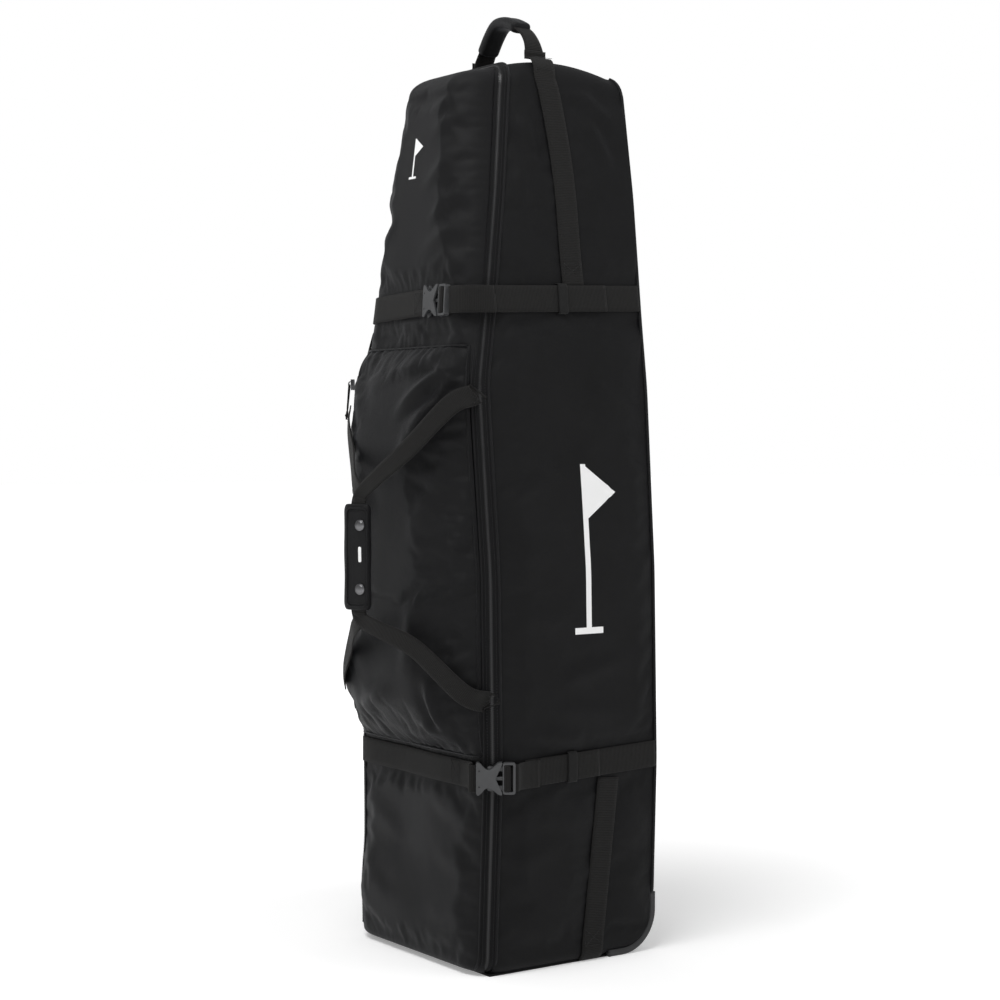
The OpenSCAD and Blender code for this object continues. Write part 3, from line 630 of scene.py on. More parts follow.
# ---------------------------------------------------------------- cloth

CLOTH_FRAMES = 20
CLOTH_STIFFNESS = 18.0
CLOTH_BENDING = 0.4
CREASE_DEPTH = 1.35


def inflate(piece, pin, pressure, growth, cap):
    """Lets a pinned sheet swell and crease as slack cloth, then keeps the result, capped."""
    mesh = piece.data
    base = np.array([v.co for v in mesh.vertices])
    group = piece.vertex_groups.new(name="pin")
    for weight in np.unique(pin.round(2)):
        if weight > 0:
            group.add(np.flatnonzero(pin.round(2) == weight).tolist(), float(weight), "REPLACE")
    cloth = piece.modifiers.new("cloth", "CLOTH")
    settings = cloth.settings
    settings.quality = 5
    settings.mass = 0.2
    settings.air_damping = 2.0
    settings.tension_stiffness = settings.compression_stiffness = CLOTH_STIFFNESS
    settings.shear_stiffness = CLOTH_STIFFNESS * 0.5
    settings.bending_stiffness = CLOTH_BENDING
    settings.vertex_group_mass = "pin"
    settings.shrink_min = -growth
    settings.use_pressure = True
    settings.uniform_pressure_force = pressure
    settings.effector_weights.gravity = 0
    cloth.collision_settings.use_collision = False
    cloth.point_cache.frame_start = 1
    cloth.point_cache.frame_end = CLOTH_FRAMES
    scene = bpy.context.scene
    for step in range(1, CLOTH_FRAMES + 1):
        scene.frame_set(step)
    graph = bpy.context.evaluated_depsgraph_get()
    made = piece.evaluated_get(graph).to_mesh()
    result = np.array([v.co for v in made.vertices])
    piece.evaluated_get(graph).to_mesh_clear()
    piece.modifiers.remove(cloth)
    piece.vertex_groups.clear()
    scene.frame_set(1)
    move = result - base
    size = np.linalg.norm(move, axis=1, keepdims=True)
    move *= np.minimum(1, cap / np.maximum(size, 1e-9))
    result = base + move
    mesh.vertices.foreach_set("co", result.ravel())
    mesh.update()


def shift(piece, amount):
    """Moves a sheet's points along its normals."""
    mesh = piece.data
    normals = np.array([v.normal for v in mesh.vertices])
    points = np.array([v.co for v in mesh.vertices]) + normals * np.asarray(amount)[:, None]
    mesh.vertices.foreach_set("co", points.ravel())
    mesh.update()


def ripples(a, b, seed, waves=9, short=0.05, long=0.25):
    """Slow uneven waviness from a few long waves, between about -1 and 1."""
    pick = random.Random(seed)
    total = np.zeros(np.shape(a))
    for _ in range(waves):
        length, turn, phase = pick.uniform(short, long), pick.uniform(0, math.pi), pick.uniform(0, 6.3)
        total += np.sin(2 * math.pi * (a * math.cos(turn) + b * math.sin(turn)) / length + phase) * length
    return total / (0.5 * waves * (short + long) / 2) / 2


def creases(a, b, strokes):
    """Folds drawn as strokes: start, end, half width and height of each, in sheet coordinates."""
    total = np.zeros(np.shape(a))
    for (a0, b0), (a1, b1), wide, high in strokes:
        length = math.hypot(a1 - a0, b1 - b0)
        ta, tb = (a1 - a0) / length, (b1 - b0) / length
        along = (a - a0) * ta + (b - b0) * tb
        off = (b - b0) * ta - (a - a0) * tb
        bow = 0.12 * length * np.sin(np.clip(along / length, 0, 1) * math.pi)
        t = (off - bow * 0.3) / wide
        fade = smoothstep(along / (0.25 * length)) * smoothstep((length - along) / (0.5 * length))
        total += high * fade * (np.exp(-t * t) - 0.55 * np.exp(-((t - 1.6) / 1.1) ** 2))
    return total


def puckers(distance, along, pitch, depth, reach, seed):
    """Small gathers beside a seam, which die out away from it."""
    wobble = ripples(along, along * 0.3, seed, 6, 0.05, 0.2)
    wave = np.sin(2 * math.pi * along / pitch + 3.5 * wobble)
    return depth * wave * (0.6 + 0.4 * wobble) * np.exp(-np.clip(distance, 0, None) / reach)


def near(z, centre, reach):
    """1 within reach of a height and fading to 0 over a further 8 mm."""
    return 1 - smoothstep((np.abs(z - centre) - reach) / 0.008)

# ---------------------------------------------------------------- case walls

GUARD_RISE = 0.080
GUARD_BEND = 0.060
GUARD_T = 0.010
GUARD_FRONT = BACK_Y - GUARD_RISE - 0.005


def side_low(y):
    """Lowest edge of a side wall, lifted round the wheel guard at the back."""
    over = np.clip(y - (BACK_Y - GUARD_BEND), 0, GUARD_BEND - GUARD_T - 0.0003)
    bend = GUARD_BEND - np.sqrt((GUARD_BEND - GUARD_T - 0.0003) ** 2 - over ** 2)
    ramp = smoothstep((y - (GUARD_FRONT - 0.004)) / 0.003)
    return 0.0012 * (1 - ramp) + bend * ramp


def side_grid():
    """Points of the right wall before it is filled, with its cloth coordinates (back from the seam, z)."""
    t = np.concatenate([np.linspace(0, 0.06, 4), np.linspace(0.08, 0.92, 40), np.linspace(0.94, 1, 4)])
    low = np.concatenate([np.linspace(0, 0.03, 8)[:-1], np.linspace(0.03, 0.975, 170), np.linspace(0.975, 1, 10)[1:]])
    v, u = np.meshgrid(low, t, indexing="ij")
    rough_z = v * HEIGHT
    start = seam_y(rough_z) + 0.4 * edge_in(np.clip(rough_z, 0.004, HEIGHT - 0.004))
    y = start + 0.006 + (BACK_Y - BACK_CORNER - start - 0.006) * u
    bottom = side_low(y)
    z = bottom + (HEIGHT - 0.0006 - bottom) * v
    x = half_w(z) - tuck(y - start) - edge_in(z)
    lifted = z + top_rise(y) * rise_share(z)
    return np.stack([x, y, lifted], axis=-1), np.stack([y - start, z, 0 * z], axis=-1)


SIDE_FOLDS = [
    ((0.02, 0.74), (0.13, 0.69), 0.012, 0.0028), ((0.01, 0.655), (0.10, 0.685), 0.010, 0.0030),
    ((0.02, 0.50), (0.14, 0.475), 0.014, 0.0022), ((0.10, 0.40), (0.24, 0.43), 0.012, 0.0026),
    ((0.09, 0.365), (0.22, 0.345), 0.013, 0.0022), ((0.03, 0.335), (0.17, 0.31), 0.012, 0.0026),
    ((0.01, 0.60), (0.11, 0.57), 0.015, 0.0018), ((0.17, 0.83), (0.25, 0.77), 0.014, 0.0022),
    ((0.02, 0.90), (0.12, 0.86), 0.014, 0.0020), ((0.14, 1.20), (0.20, 1.12), 0.011, 0.0035),
    ((0.13, 1.245), (0.19, 1.20), 0.010, 0.0032), ((0.03, 1.21), (0.06, 1.10), 0.011, 0.0030),
    ((0.02, 1.16), (0.05, 1.03), 0.010, 0.0022), ((0.06, 0.22), (0.16, 0.19), 0.013, 0.0022),
    ((0.02, 0.15), (0.12, 0.17), 0.015, 0.0022), ((0.15, 0.12), (0.24, 0.16), 0.014, 0.0020),
]


def make_side(name, sign, node, cloth, seed):
    grid, weave = side_grid()
    grid = grid * (sign, 1, 1)
    if sign < 0:
        grid, weave = grid[:, ::-1], weave[:, ::-1]
    piece = grid_object(name, grid, weave)
    back, z = weave[..., 0].ravel(), weave[..., 1].ravel()
    edge = np.minimum(np.minimum(back, weave[..., 0].max() - back) / 0.012,
                      np.minimum(z - 0.02, HEIGHT - 0.03 - z) / 0.02)
    level = z - strap_z(grid[..., 1].ravel(), 0)
    held = np.maximum(near(level, UPPER_Z, 0.020), near(level, LOWER_Z, 0.020))
    webbing = side_webbing_y(z) - grid[..., 1].ravel()
    held = np.maximum(held, near(webbing, 0, 0.013) * 0.6)
    pin = np.clip(np.maximum(1 - edge, held), 0, 1)
    inflate(piece, pin, 1.2, 0.012, 0.007)
    free = np.clip(edge, 0, 1) * (1 - held)
    fill = CREASE_DEPTH * creases(back, z, SIDE_FOLDS) + 0.0007 * ripples(back, z, seed)
    gather = puckers(back, z, 0.017, 0.0008, 0.016, seed + 1) + puckers(
        np.minimum(np.abs(level - UPPER_Z), np.abs(level - LOWER_Z)) - 0.02, back, 0.022, 0.0008, 0.014, seed + 2)
    shift(piece, fill * free + gather * (1 - held) * np.clip(edge * 3, 0, 1))
    thicken(piece, WALL)
    subdivide(piece)
    return finish(piece, "case", "case_fabric", [cloth, lining], node)


def side_webbing_y(z):
    """Middle line of the webbing down each side wall."""
    return np.where(z > UPPER_Z, np.interp(z, [0.97, 1.01, 1.1, 1.175, 1.26], [0.031, 0.029, 0.028, 0.023, 0.011]),
                    np.where(z < LOWER_Z, np.interp(z, [0.026, 0.26], [0.042, 0.063]), -1))


def on_side(y, z, lift=0.0, taut=False):
    """Point on the right side wall and its outward normal. A taut strap bridges the hollow beside the zip."""
    y, z = np.broadcast_arrays(np.asarray(y, float), np.asarray(z, float))
    slope = (half_w(z + 0.01) - half_w(z - 0.01)) / 0.02
    normal = unit(np.stack([np.ones_like(z), 0 * z, -slope], axis=-1))
    x = half_w(z) - (0 if taut else tuck(y - seam_y(z)))
    point = np.stack([x, y, z + top_rise(y) * rise_share(z)], axis=-1) + normal * lift
    return point, normal


def make_back():
    """Flat back wall that turns forward round both rear edges to the piping."""
    plate_top, guard_top = 0.0935, 0.0845
    rows = np.concatenate([np.linspace(plate_top, HEIGHT - 0.03, 120), HEIGHT - 0.03 + 0.0294 * np.sin(
        np.linspace(0.1, 1, 8) * math.pi / 2)])
    turn = np.linspace(0, math.pi / 2, 6)
    across = np.linspace(-1, 1, 42)[1:-1]
    grid, weave = [], []
    for z in rows:
        w, drop = float(half_w(z)), float(edge_in(z))
        flat = w - BACK_CORNER
        ring = [(flat + BACK_CORNER * math.cos(t), BACK_Y - BACK_CORNER + BACK_CORNER * math.sin(t)) for t in turn]
        ring += [(-a * flat, BACK_Y) for a in across]
        ring += [(-flat - BACK_CORNER * math.sin(t), BACK_Y - BACK_CORNER + BACK_CORNER * math.cos(t)) for t in turn]
        grid.append([(x - math.copysign(min(drop, abs(x)), x) * min(1, abs(x) / 0.06), y - drop, z) for x, y in ring])
        weave.append([(x, z, 0) for x, _ in ring])
    grid, weave = np.array(grid), np.array(weave)
    outer = smoothstep((np.abs(grid[..., 0]) - 0.1035) / 0.002)
    grid[..., 2] -= outer * (plate_top - guard_top) * smoothstep((0.13 - grid[..., 2]) / 0.036)
    piece = grid_object("back_cloth", grid, weave)
    x, z = grid[..., 0].ravel(), grid[..., 2].ravel()
    inside = (half_w(z) - 0.014 - np.abs(x)) / 0.03
    free = np.clip(np.minimum(inside, np.minimum((z - 0.1) / 0.03, (HEIGHT - 0.04 - z) / 0.03)), 0, 1)
    shift(piece, free * (0.0016 + 0.0012 * ripples(x, z, 31) + 0.0012 * ripples(x * 2, z, 32)))
    thicken(piece, WALL)
    subdivide(piece)
    finish(piece, "case", "case_fabric", [side_cloth, lining], "back_panel")


def make_top():
    """Top wall between the rounded edges of the sides and the zip."""
    xs, ys = np.linspace(-1, 1, 40), np.linspace(0, 1, 40)
    v, u = np.meshgrid(ys, xs, indexing="ij")
    half = float(half_w(HEIGHT)) - 0.022
    start = float(seam_y(HEIGHT)) + 0.016
    end = BACK_Y - 0.024
    x, y = u * half, start + (end - start) * v
    edge = np.minimum(1 - np.abs(u), np.minimum(v, 1 - v))
    dome = top_rise(y) + 0.0015 * smoothstep(edge / 0.25) + 0.0009 * ripples(x, y, 5) * smoothstep(edge / 0.15)
    grid = np.stack([x, y, HEIGHT - 0.001 + dome], axis=-1)
    piece = grid_object("top_cloth", grid, np.stack([x, y, 0 * x], axis=-1))
    thicken(piece, WALL)
    subdivide(piece)
    finish(piece, "case", "case_fabric", [side_cloth, lining], "top_panel")


def make_piping():
    """Covered cord sewn along both rear edges."""
    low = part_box("back_piping")[0].z
    z = np.concatenate([np.linspace(low, HEIGHT - 0.03, 220), HEIGHT - 0.03 + 0.028 * np.sin(
        np.linspace(0.1, 1, 8) * math.pi / 2)])
    parts = []
    for sign in (1, -1):
        x = half_w(z) - edge_in(z)
        path = np.stack([sign * (x + 0.0004), BACK_Y - BACK_CORNER + 0.0012 - edge_in(z) * 0.2, z], axis=-1)
        parts.append(sweep("piping", path, np.tile((sign, 0.5, 0), (len(z), 1)), round_section(0.0022)))
    piece = join("rear_piping", parts)
    finish(piece, "case", "piping", piping_cloth, "back_piping")

# ---------------------------------------------------------------- lid


def lid_columns():
    """Places across the lid: (side, angle) on the corners and (x share, None) on the front."""
    corner = np.linspace(SEAM_ANGLE + 0.09, math.pi / 2, 9)
    columns = [(-1, a) for a in corner]
    columns += [(s, None) for s in np.linspace(-1, 1, 46)[1:-1]]
    return columns + [(1, a) for a in corner[::-1]]


def lid_bulge(z):
    return (seam_y(z) - 0.0015 - front_y(z)) / (1 - math.sin(SEAM_ANGLE))


def waist(x, z):
    """Hollow of the lid's left half between the pocket and the base, and the small bulge below it."""
    left = smoothstep((0.07 - np.asarray(x, float)) / 0.14)
    hollow = 0.007 * smoothstep((np.asarray(z, float) - 0.11) / 0.05) * smoothstep((0.335 - z) / 0.05)
    bulge = 0.005 * np.exp(-((np.asarray(z, float) - 0.08) / 0.03) ** 2)
    return left * (hollow - bulge)


def lid_surface(side, angle, z, close):
    w = half_w(z) - edge_in(z) - TUCK_IN
    seam = seam_y(z) + 0.4 * edge_in(z)
    front = front_y(z) + 0.8 * edge_in(z) + waist(side * (1 if angle is not None else w), z)
    front = front + (seam - 0.002 - front) * close
    bulge = (seam - 0.0015 - front) / (1 - math.sin(SEAM_ANGLE))
    reach = math.cos(SEAM_ANGLE)
    if angle is None:
        return side * (w - CORNER_RUN * reach), front
    x = math.copysign(1, side) * (w - CORNER_RUN * (reach - math.cos(angle)))
    return x, front + bulge * (1 - math.sin(angle))


def lid_front_at(x, z):
    """Front-to-back place of the lid's face at x."""
    over = np.clip(np.abs(x) - (half_w(z) - TUCK_IN - CORNER_RUN * math.cos(SEAM_ANGLE)), 0, None) / CORNER_RUN
    bulge = lid_bulge(z) - waist(x, z) / (1 - math.sin(SEAM_ANGLE))
    return front_y(z) + waist(x, z) + bulge * (1 - np.sqrt(np.clip(1 - over ** 2, 0, 1)))


LID_FOLDS = [
    ((0.085, 1.21), (0.02, 1.18), 0.010, 0.0022), ((0.095, 1.16), (0.01, 1.10), 0.010, 0.0026),
    ((0.10, 1.10), (0.03, 1.05), 0.009, 0.0026), ((0.105, 1.05), (0.01, 1.01), 0.011, 0.0026),
    ((0.11, 1.00), (0.05, 0.975), 0.009, 0.0022), ((-0.10, 1.02), (-0.04, 1.07), 0.012, 0.0024),
    ((-0.11, 1.07), (-0.05, 1.13), 0.012, 0.0022), ((0.13, 0.15), (0.04, 0.17), 0.015, 0.0020),
    ((-0.14, 0.20), (-0.03, 0.16), 0.016, 0.0022), ((0.12, 0.22), (0.03, 0.24), 0.013, 0.0022),
    ((0.13, 0.09), (0.02, 0.075), 0.014, 0.0018), ((-0.13, 0.10), (-0.04, 0.075), 0.014, 0.0018),
]


def make_lid():
    top = HEIGHT - 0.0035
    rows = [(0.0045, 0.95), (0.0047, 0.7), (0.0052, 0.42), (0.0066, 0.2), (0.0095, 0.07), (0.014, 0.015)]
    rows += [(z, 0.0) for z in np.linspace(0.021, HEIGHT - 0.04, 205)]
    rows += [(HEIGHT - 0.032, 0.01), (HEIGHT - 0.024, 0.04), (HEIGHT - 0.016, 0.12), (HEIGHT - 0.010, 0.26),
             (HEIGHT - 0.006, 0.5), (HEIGHT - 0.0043, 0.75), (top, 0.95)]
    columns = lid_columns()
    grid = np.zeros((len(rows), len(columns), 3))
    for r, (z, close) in enumerate(rows):
        for c, (side, angle) in enumerate(columns):
            x, y = lid_surface(side, angle, z, close)
            grid[r, c] = (x, y, z)
    weave = np.stack([grid[..., 0], grid[..., 2], 0 * grid[..., 0]], axis=-1)
    piece = grid_object("lid_cloth", grid, weave)
    x, z = grid[..., 0].ravel(), grid[..., 2].ravel()
    from_seam = half_w(z) - edge_in(z) - TUCK_IN - np.abs(x)
    edge = np.minimum(from_seam / 0.016, np.minimum((z - 0.008) / 0.02, (HEIGHT - 0.012 - z) / 0.02))
    covered = (z > POCKET_LOW) & (z < POCKET_HIGH)
    held = np.maximum(near(z, UPPER_Z, 0.020), near(z, LOWER_Z, 0.020))
    held = np.maximum(held, covered * 1.0)
    pin = np.clip(np.maximum(1 - edge, held), 0, 1)
    inflate(piece, pin, 2.2, 0.022, 0.007)
    free = np.clip(edge, 0, 1) * (1 - held)
    gather = puckers(from_seam, z, 0.0145, 0.0016, 0.022, 11) * np.clip(from_seam / 0.004, 0, 1)
    shift(piece, creases(x, z, LID_FOLDS) * free + 0.0007 * ripples(x, z, 12) * free
          + gather * (1 - held) * (z > 0.03) * (z < HEIGHT - 0.03))
    thicken(piece, WALL)
    subdivide(piece)
    finish(piece, "lid", "lid_fabric", [lid_cloth, lining], "lid_panel")

# ---------------------------------------------------------------- pocket

POCKET_EDGE = TUCK_IN + 0.008
pocket_points = []


def pocket_surface(u, v):
    z = POCKET_LOW + (POCKET_HIGH - POCKET_LOW) * (v + 1) / 2
    w = half_w(z) - POCKET_EDGE
    swell = (1 - np.abs(u) ** 5) ** 0.7 * (1 - np.abs(v) ** 7) ** 0.7
    low = np.exp(-((v + 0.68) / 0.25) ** 2) * POCKET_SAG
    slack = 0.36 * smoothstep((z - 0.74) / 0.10) * (1 - np.exp(-((u + 0.93) / 0.06) ** 4))
    swell = swell * (1 - slack)
    x = u * w
    y = lid_front_at(x, z) - 0.0012 - (POCKET_DEPTH - 0.001) * swell - low * swell
    return np.stack([x, y, z], axis=-1)


GUSSET_U = 0.84

POCKET_FOLDS = [
    ((0.125, 0.862), (0.02, 0.77), 0.010, 0.0065), ((0.130, 0.868), (0.06, 0.72), 0.008, 0.0050),
    ((0.115, 0.872), (-0.04, 0.835), 0.012, 0.0040), ((0.10, 0.80), (0.03, 0.69), 0.014, 0.0045),
    ((0.13, 0.72), (0.06, 0.60), 0.013, 0.0040), ((0.145, 0.70), (0.125, 0.55), 0.008, 0.0040),
    ((0.152, 0.62), (0.13, 0.60), 0.007, 0.0035), ((0.152, 0.55), (0.125, 0.53), 0.007, 0.0035),
    ((0.155, 0.48), (0.12, 0.50), 0.008, 0.0035), ((0.12, 0.34), (0.10, 0.42), 0.009, 0.0080),
    ((0.135, 0.33), (0.05, 0.36), 0.010, 0.0050), ((0.10, 0.325), (-0.02, 0.335), 0.009, 0.0040),
    ((-0.08, 0.35), (0.04, 0.40), 0.016, 0.0050), ((-0.12, 0.45), (-0.02, 0.42), 0.018, 0.0040),
    ((-0.10, 0.70), (-0.02, 0.62), 0.018, 0.0040), ((-0.12, 0.84), (-0.05, 0.76), 0.014, 0.0040),
    ((0.07, 0.52), (0.05, 0.40), 0.016, 0.0035), ((-0.13, 0.36), (-0.08, 0.45), 0.012, 0.0050),
]


def make_pocket():
    ends = 1 - np.geomspace(0.004, 0.12, 9)
    us = np.concatenate([-ends, np.linspace(-0.86, 0.86, 64), ends[::-1]])
    vs = np.concatenate([-ends, np.linspace(-0.87, 0.87, 108), ends[::-1]])
    v, u = np.meshgrid(vs, us, indexing="ij")
    grid = pocket_surface(u, v)
    weave = np.stack([grid[..., 0], grid[..., 2], 0 * u], axis=-1)
    piece = grid_object("pocket_cloth", grid, weave)
    x, z = grid[..., 0].ravel(), grid[..., 2].ravel()
    u, v = u.ravel(), v.ravel()
    edge = np.minimum((1 - np.abs(u)) / 0.035, (1 - np.abs(v)) / 0.02)
    seam = np.exp(-((np.abs(u) - GUSSET_U) / 0.012) ** 2)
    zip_strip = np.exp(-((u + 0.93) / 0.05) ** 4)
    pin = np.clip(np.maximum(np.maximum(1 - edge, 0.35 * seam), zip_strip), 0, 1)
    inflate(piece, pin, 2.5, 0.03, 0.012)
    free = np.clip(edge, 0, 1) * (1 - zip_strip)
    gather = (puckers((1 - np.abs(v)) * 0.28, x, 0.020, 0.0022, 0.018, 21)
              + puckers((1 - np.abs(u)) * 0.15, z, 0.026, 0.0022, 0.014, 22)
              + puckers(np.abs(np.abs(u) - GUSSET_U) * 0.15, z, 0.019, 0.0009, 0.010, 23))
    fill = CREASE_DEPTH * creases(x, z, POCKET_FOLDS) + 0.0018 * ripples(x, z, 24)
    shift(piece, (fill + gather) * free - 0.0016 * seam)
    pocket_points.append(np.array([v.co for v in piece.data.vertices]))
    thicken(piece, 0.002)
    subdivide(piece)
    finish(piece, "lid", "lid_fabric", [pocket_cloth, lining], "pocket_panel", "pocket_gusset_right",
           "pocket_gusset_left")
    # Corded seam round the pocket's edge
    rim_v = np.linspace(-0.97, 0.97, 150)
    parts = []
    for sign in (1, -1):
        path = pocket_surface(np.full_like(rim_v, sign * 0.985), rim_v) + (0, -0.0004, 0)
        parts.append(sweep("rim", path, np.tile((sign * 0.6, -0.8, 0), (len(rim_v), 1)), round_section(0.0013)))
    rim_u = np.linspace(-0.975, 0.975, 90)
    for sign in (1, -1):
        path = pocket_surface(rim_u, np.full_like(rim_u, sign * 0.992)) + (0, -0.0006, 0)
        parts.append(sweep("rim", path, np.tile((0, -1, sign * 0.4), (len(rim_u), 1)), round_section(0.0016)))
    finish(join("pocket_binding", parts), "lid", "piping", piping_cloth)

# ---------------------------------------------------------------- main zip


def seam_path():
    """The zip's line from the bottom left corner under the front, up the right, over the top and down the left."""
    low, high = 0.0042, HEIGHT - 0.0012
    def corner(cx, cz, r, a0, a1):
        return [(cx + r * math.cos(a), cz + r * math.sin(a), a) for a in np.linspace(a0, a1, 9)]
    out = []
    r = 0.024
    w0 = float(half_w(0.03)) - TUCK_IN
    for x in np.linspace(-w0 + r, w0 - r, 60)[:-1]:
        out.append((x, low, -math.pi / 2))
    out += corner(w0 - r, low + r, r, -math.pi / 2, 0)[:-1]
    for z in np.linspace(low + r, high - 0.034, 260):
        out.append((float(half_w(z)) - TUCK_IN, z, 0.0))
    w1 = float(half_w(high - 0.034)) - TUCK_IN
    out += corner(w1 - 0.034, high - 0.034, 0.034, 0, math.pi / 2)[1:]
    for x in np.linspace(w1 - 0.034, -w1 + 0.034, 40)[1:-1]:
        out.append((x, high, math.pi / 2))
    out += corner(-w1 + 0.034, high - 0.034, 0.034, math.pi / 2, math.pi)[:-1]
    for z in np.linspace(high - 0.034, HINGE_TOP, 90):
        out.append((-(float(half_w(z)) - TUCK_IN), z, math.pi))
    out = np.array(out)
    drop = edge_in(np.clip(out[:, 1], 0.003, HEIGHT - 0.003))
    y = seam_y(out[:, 1]) - 0.001 + 0.4 * drop
    path = np.stack([out[:, 0], y, out[:, 1]], axis=-1)
    lean = -0.72 + 0.5 * np.clip(-np.sin(out[:, 2]), 0, 1)
    normals = unit(np.stack([np.cos(out[:, 2]), lean, np.sin(out[:, 2])], axis=-1))
    return resample(path, normals, 0.004)


def resample(path, normals, step):
    gaps = np.linalg.norm(np.diff(path, axis=0), axis=1)
    length = np.concatenate([[0], np.cumsum(gaps)])
    at = np.linspace(0, length[-1], int(length[-1] / step))
    pick = lambda values: np.stack([np.interp(at, length, values[:, k]) for k in range(3)], axis=1)
    return pick(path), unit(pick(normals))


def zip_teeth(name, path, normals, side):
    """Half of the coil: one small hooked tooth for each turn, every second one of the pair."""
    pitch = 0.0026
    path, normals = resample(path, normals, pitch)
    tangent = unit(np.gradient(path, axis=0))
    across = np.cross(tangent, normals)
    ring = [(-0.0030, 0.0006), (-0.0026, 0.0019), (0.0008, 0.0021), (0.0013, 0.0012), (0.0008, 0.0005)]
    points, faces = [], []
    for p, n, t, b in zip(path, normals, tangent, across):
        base = len(points)
        for along in (-0.00055, 0.00055):
            for a, out in ring:
                shift_along = along + side * pitch / 4
                points.append(p + t * shift_along + b * (-side * a) + n * out)
        k = len(ring)
        faces += [(base + i, base + (i + 1) % k, base + k + (i + 1) % k, base + k + i) for i in range(k)]
        faces += [tuple(base + i for i in reversed(range(k))), tuple(base + k + i for i in range(k))]
    return new_object(name, points, faces, smooth=False)


def zip_tape(name, path, normals, side):
    """Tape and edge piping of one half, side -1 for the lid and 1 for the case."""
    tape = [(0.0013, 0.0003), (0.0016, 0.0012), (0.004, 0.0013), (0.0085, 0.0009 - 0.0004), (0.0115, -0.0006),
            (0.0118, -0.0020), (0.0085, -0.0012), (0.004, -0.0004)]
    tape = [(side * a, b) for a, b in tape]
    if side > 0:
        tape = tape[::-1]
    band = sweep(name, path, normals, tape)
    bead = sweep("bead", path, normals, [(side * 0.0118 + a, b - 0.0008) for a, b in round_section(0.0019, 7)])
    band.data.materials.append(tape_cloth)
    bead.data.materials.append(piping_cloth)
    return join(name, [band, bead])


def make_zip():
    path, normals = seam_path()
    for side, body in ((-1, "lid"), (1, "case")):
        tape = zip_tape(body + "_zip_band", path, normals, side)
        finish(tape, body, "zip_tape", [], body + "_zip_tape")
        teeth = zip_teeth(body + "_zip_teeth", path, normals, side)
        finish(teeth, body, "zip_coil", coil_plastic, body + "_zip_coil")

# ---------------------------------------------------------------- straps


def side_strap(name, z, y_from, y_to, lift, taut=False):
    ys = np.linspace(y_from, y_to, 12)
    points, normals = on_side(ys, strap_z(ys, z), lift, taut)
    return strap(name, points, normals)


def make_straps():
    for which, z in (("upper", UPPER_Z), ("lower", LOWER_Z)):
        base_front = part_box(which + "_strap_base")[0].y
        tail_low, tail_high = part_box(which + "_strap_tail")
        piece = side_strap(which + "_base_webbing", z, base_front, BACK_Y - BACK_CORNER, 0.0012)
        finish(piece, "case", "webbing", strap_cloth, which + "_strap_base")
        start = -0.109 if which == "upper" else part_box(which + "_strap_over")[1].y
        tail = side_strap(which + "_tail_webbing", z, min(start, tail_low.y), tail_high.y, 0.0034, taut=True)
        finish(tail, "case", "webbing", strap_cloth, which + "_strap_tail")
        keeper_y = middle(which + "_strap_keeper").y
        make_keeper(which, keeper_y, float(strap_z(keeper_y, z)))


def make_keeper(which, y, z):
    """Elastic loop round the doubled webbing."""
    point, normal = on_side(y, z, 0.0)
    up = unit(np.cross(normal, (0, 1, 0)))
    loop = []
    half, deep = WEBBING / 2 + 0.0018, 0.0062
    for a, out in ((-1.0, 0.0004), (-1.0, 0.5 * deep), (-0.93, deep), (-0.5, deep + 0.0006), (0, deep + 0.0008),
                   (0.5, deep + 0.0006), (0.93, deep), (1.0, 0.5 * deep), (1.0, 0.0004)):
        loop.append(point + up * a * half + normal * out)
    loop = np.array(loop)
    centre = point + normal * 0.003
    piece = strap(which + "_keeper_loop", loop, unit(loop - centre + normal * 0.004), 0.016, 0.0011, 0.003)
    finish(piece, "case", "elastic", elastic_cloth, which + "_strap_keeper")

# ---------------------------------------------------------------- small part tools


def outward(piece):
    """Turns every face of a closed piece to look outwards."""
    made = bmesh.new()
    made.from_mesh(piece.data)
    bmesh.ops.recalc_face_normals(made, faces=made.faces)
    made.to_mesh(piece.data)
    made.free()
    return piece


def rounded(points, radius, steps=4):
    """Outline with each corner cut by a small curve."""
    points = [np.asarray(p, float) for p in points]
    out = []
    for i, corner in enumerate(points):
        before, after = points[i - 1] - corner, points[(i + 1) % len(points)] - corner
        reach = min(radius, 0.45 * np.linalg.norm(before), 0.45 * np.linalg.norm(after))
        start, end = corner + unit(before) * reach, corner + unit(after) * reach
        for t in np.linspace(0, 1, steps):
            out.append((1 - t) ** 2 * start + 2 * t * (1 - t) * corner + t * t * end)
    return out


def mirrored(half):
    """Closed outline from its upper half, listed from left to right."""
    return list(half) + [(x, -y) for x, y in reversed(half)]


def plate(name, outline, holes, low, high, place, edge=0.0006):
    """Flat moulding between two levels, with holes and softened edges. place maps (x, y, level)."""
    loops = [[Vector((float(x), float(y), 0)) for x, y in loop] for loop in [outline] + holes]
    flat = [p for loop in loops for p in loop]
    count = len(flat)
    triangles = tessellate_polygon(loops)
    points = [place(p.x, p.y, level) for level in (low, high) for p in flat]
    faces = [tuple(t) for t in triangles] + [tuple(count + k for k in t) for t in triangles]
    start = 0
    for loop in loops:
        for i in range(len(loop)):
            j = (i + 1) % len(loop)
            faces.append((start + i, start + j, count + start + j, count + start + i))
        start += len(loop)
    piece = outward(new_object(name, points, faces, smooth=False))
    bevel(piece, edge)
    return apply_modifiers(piece)


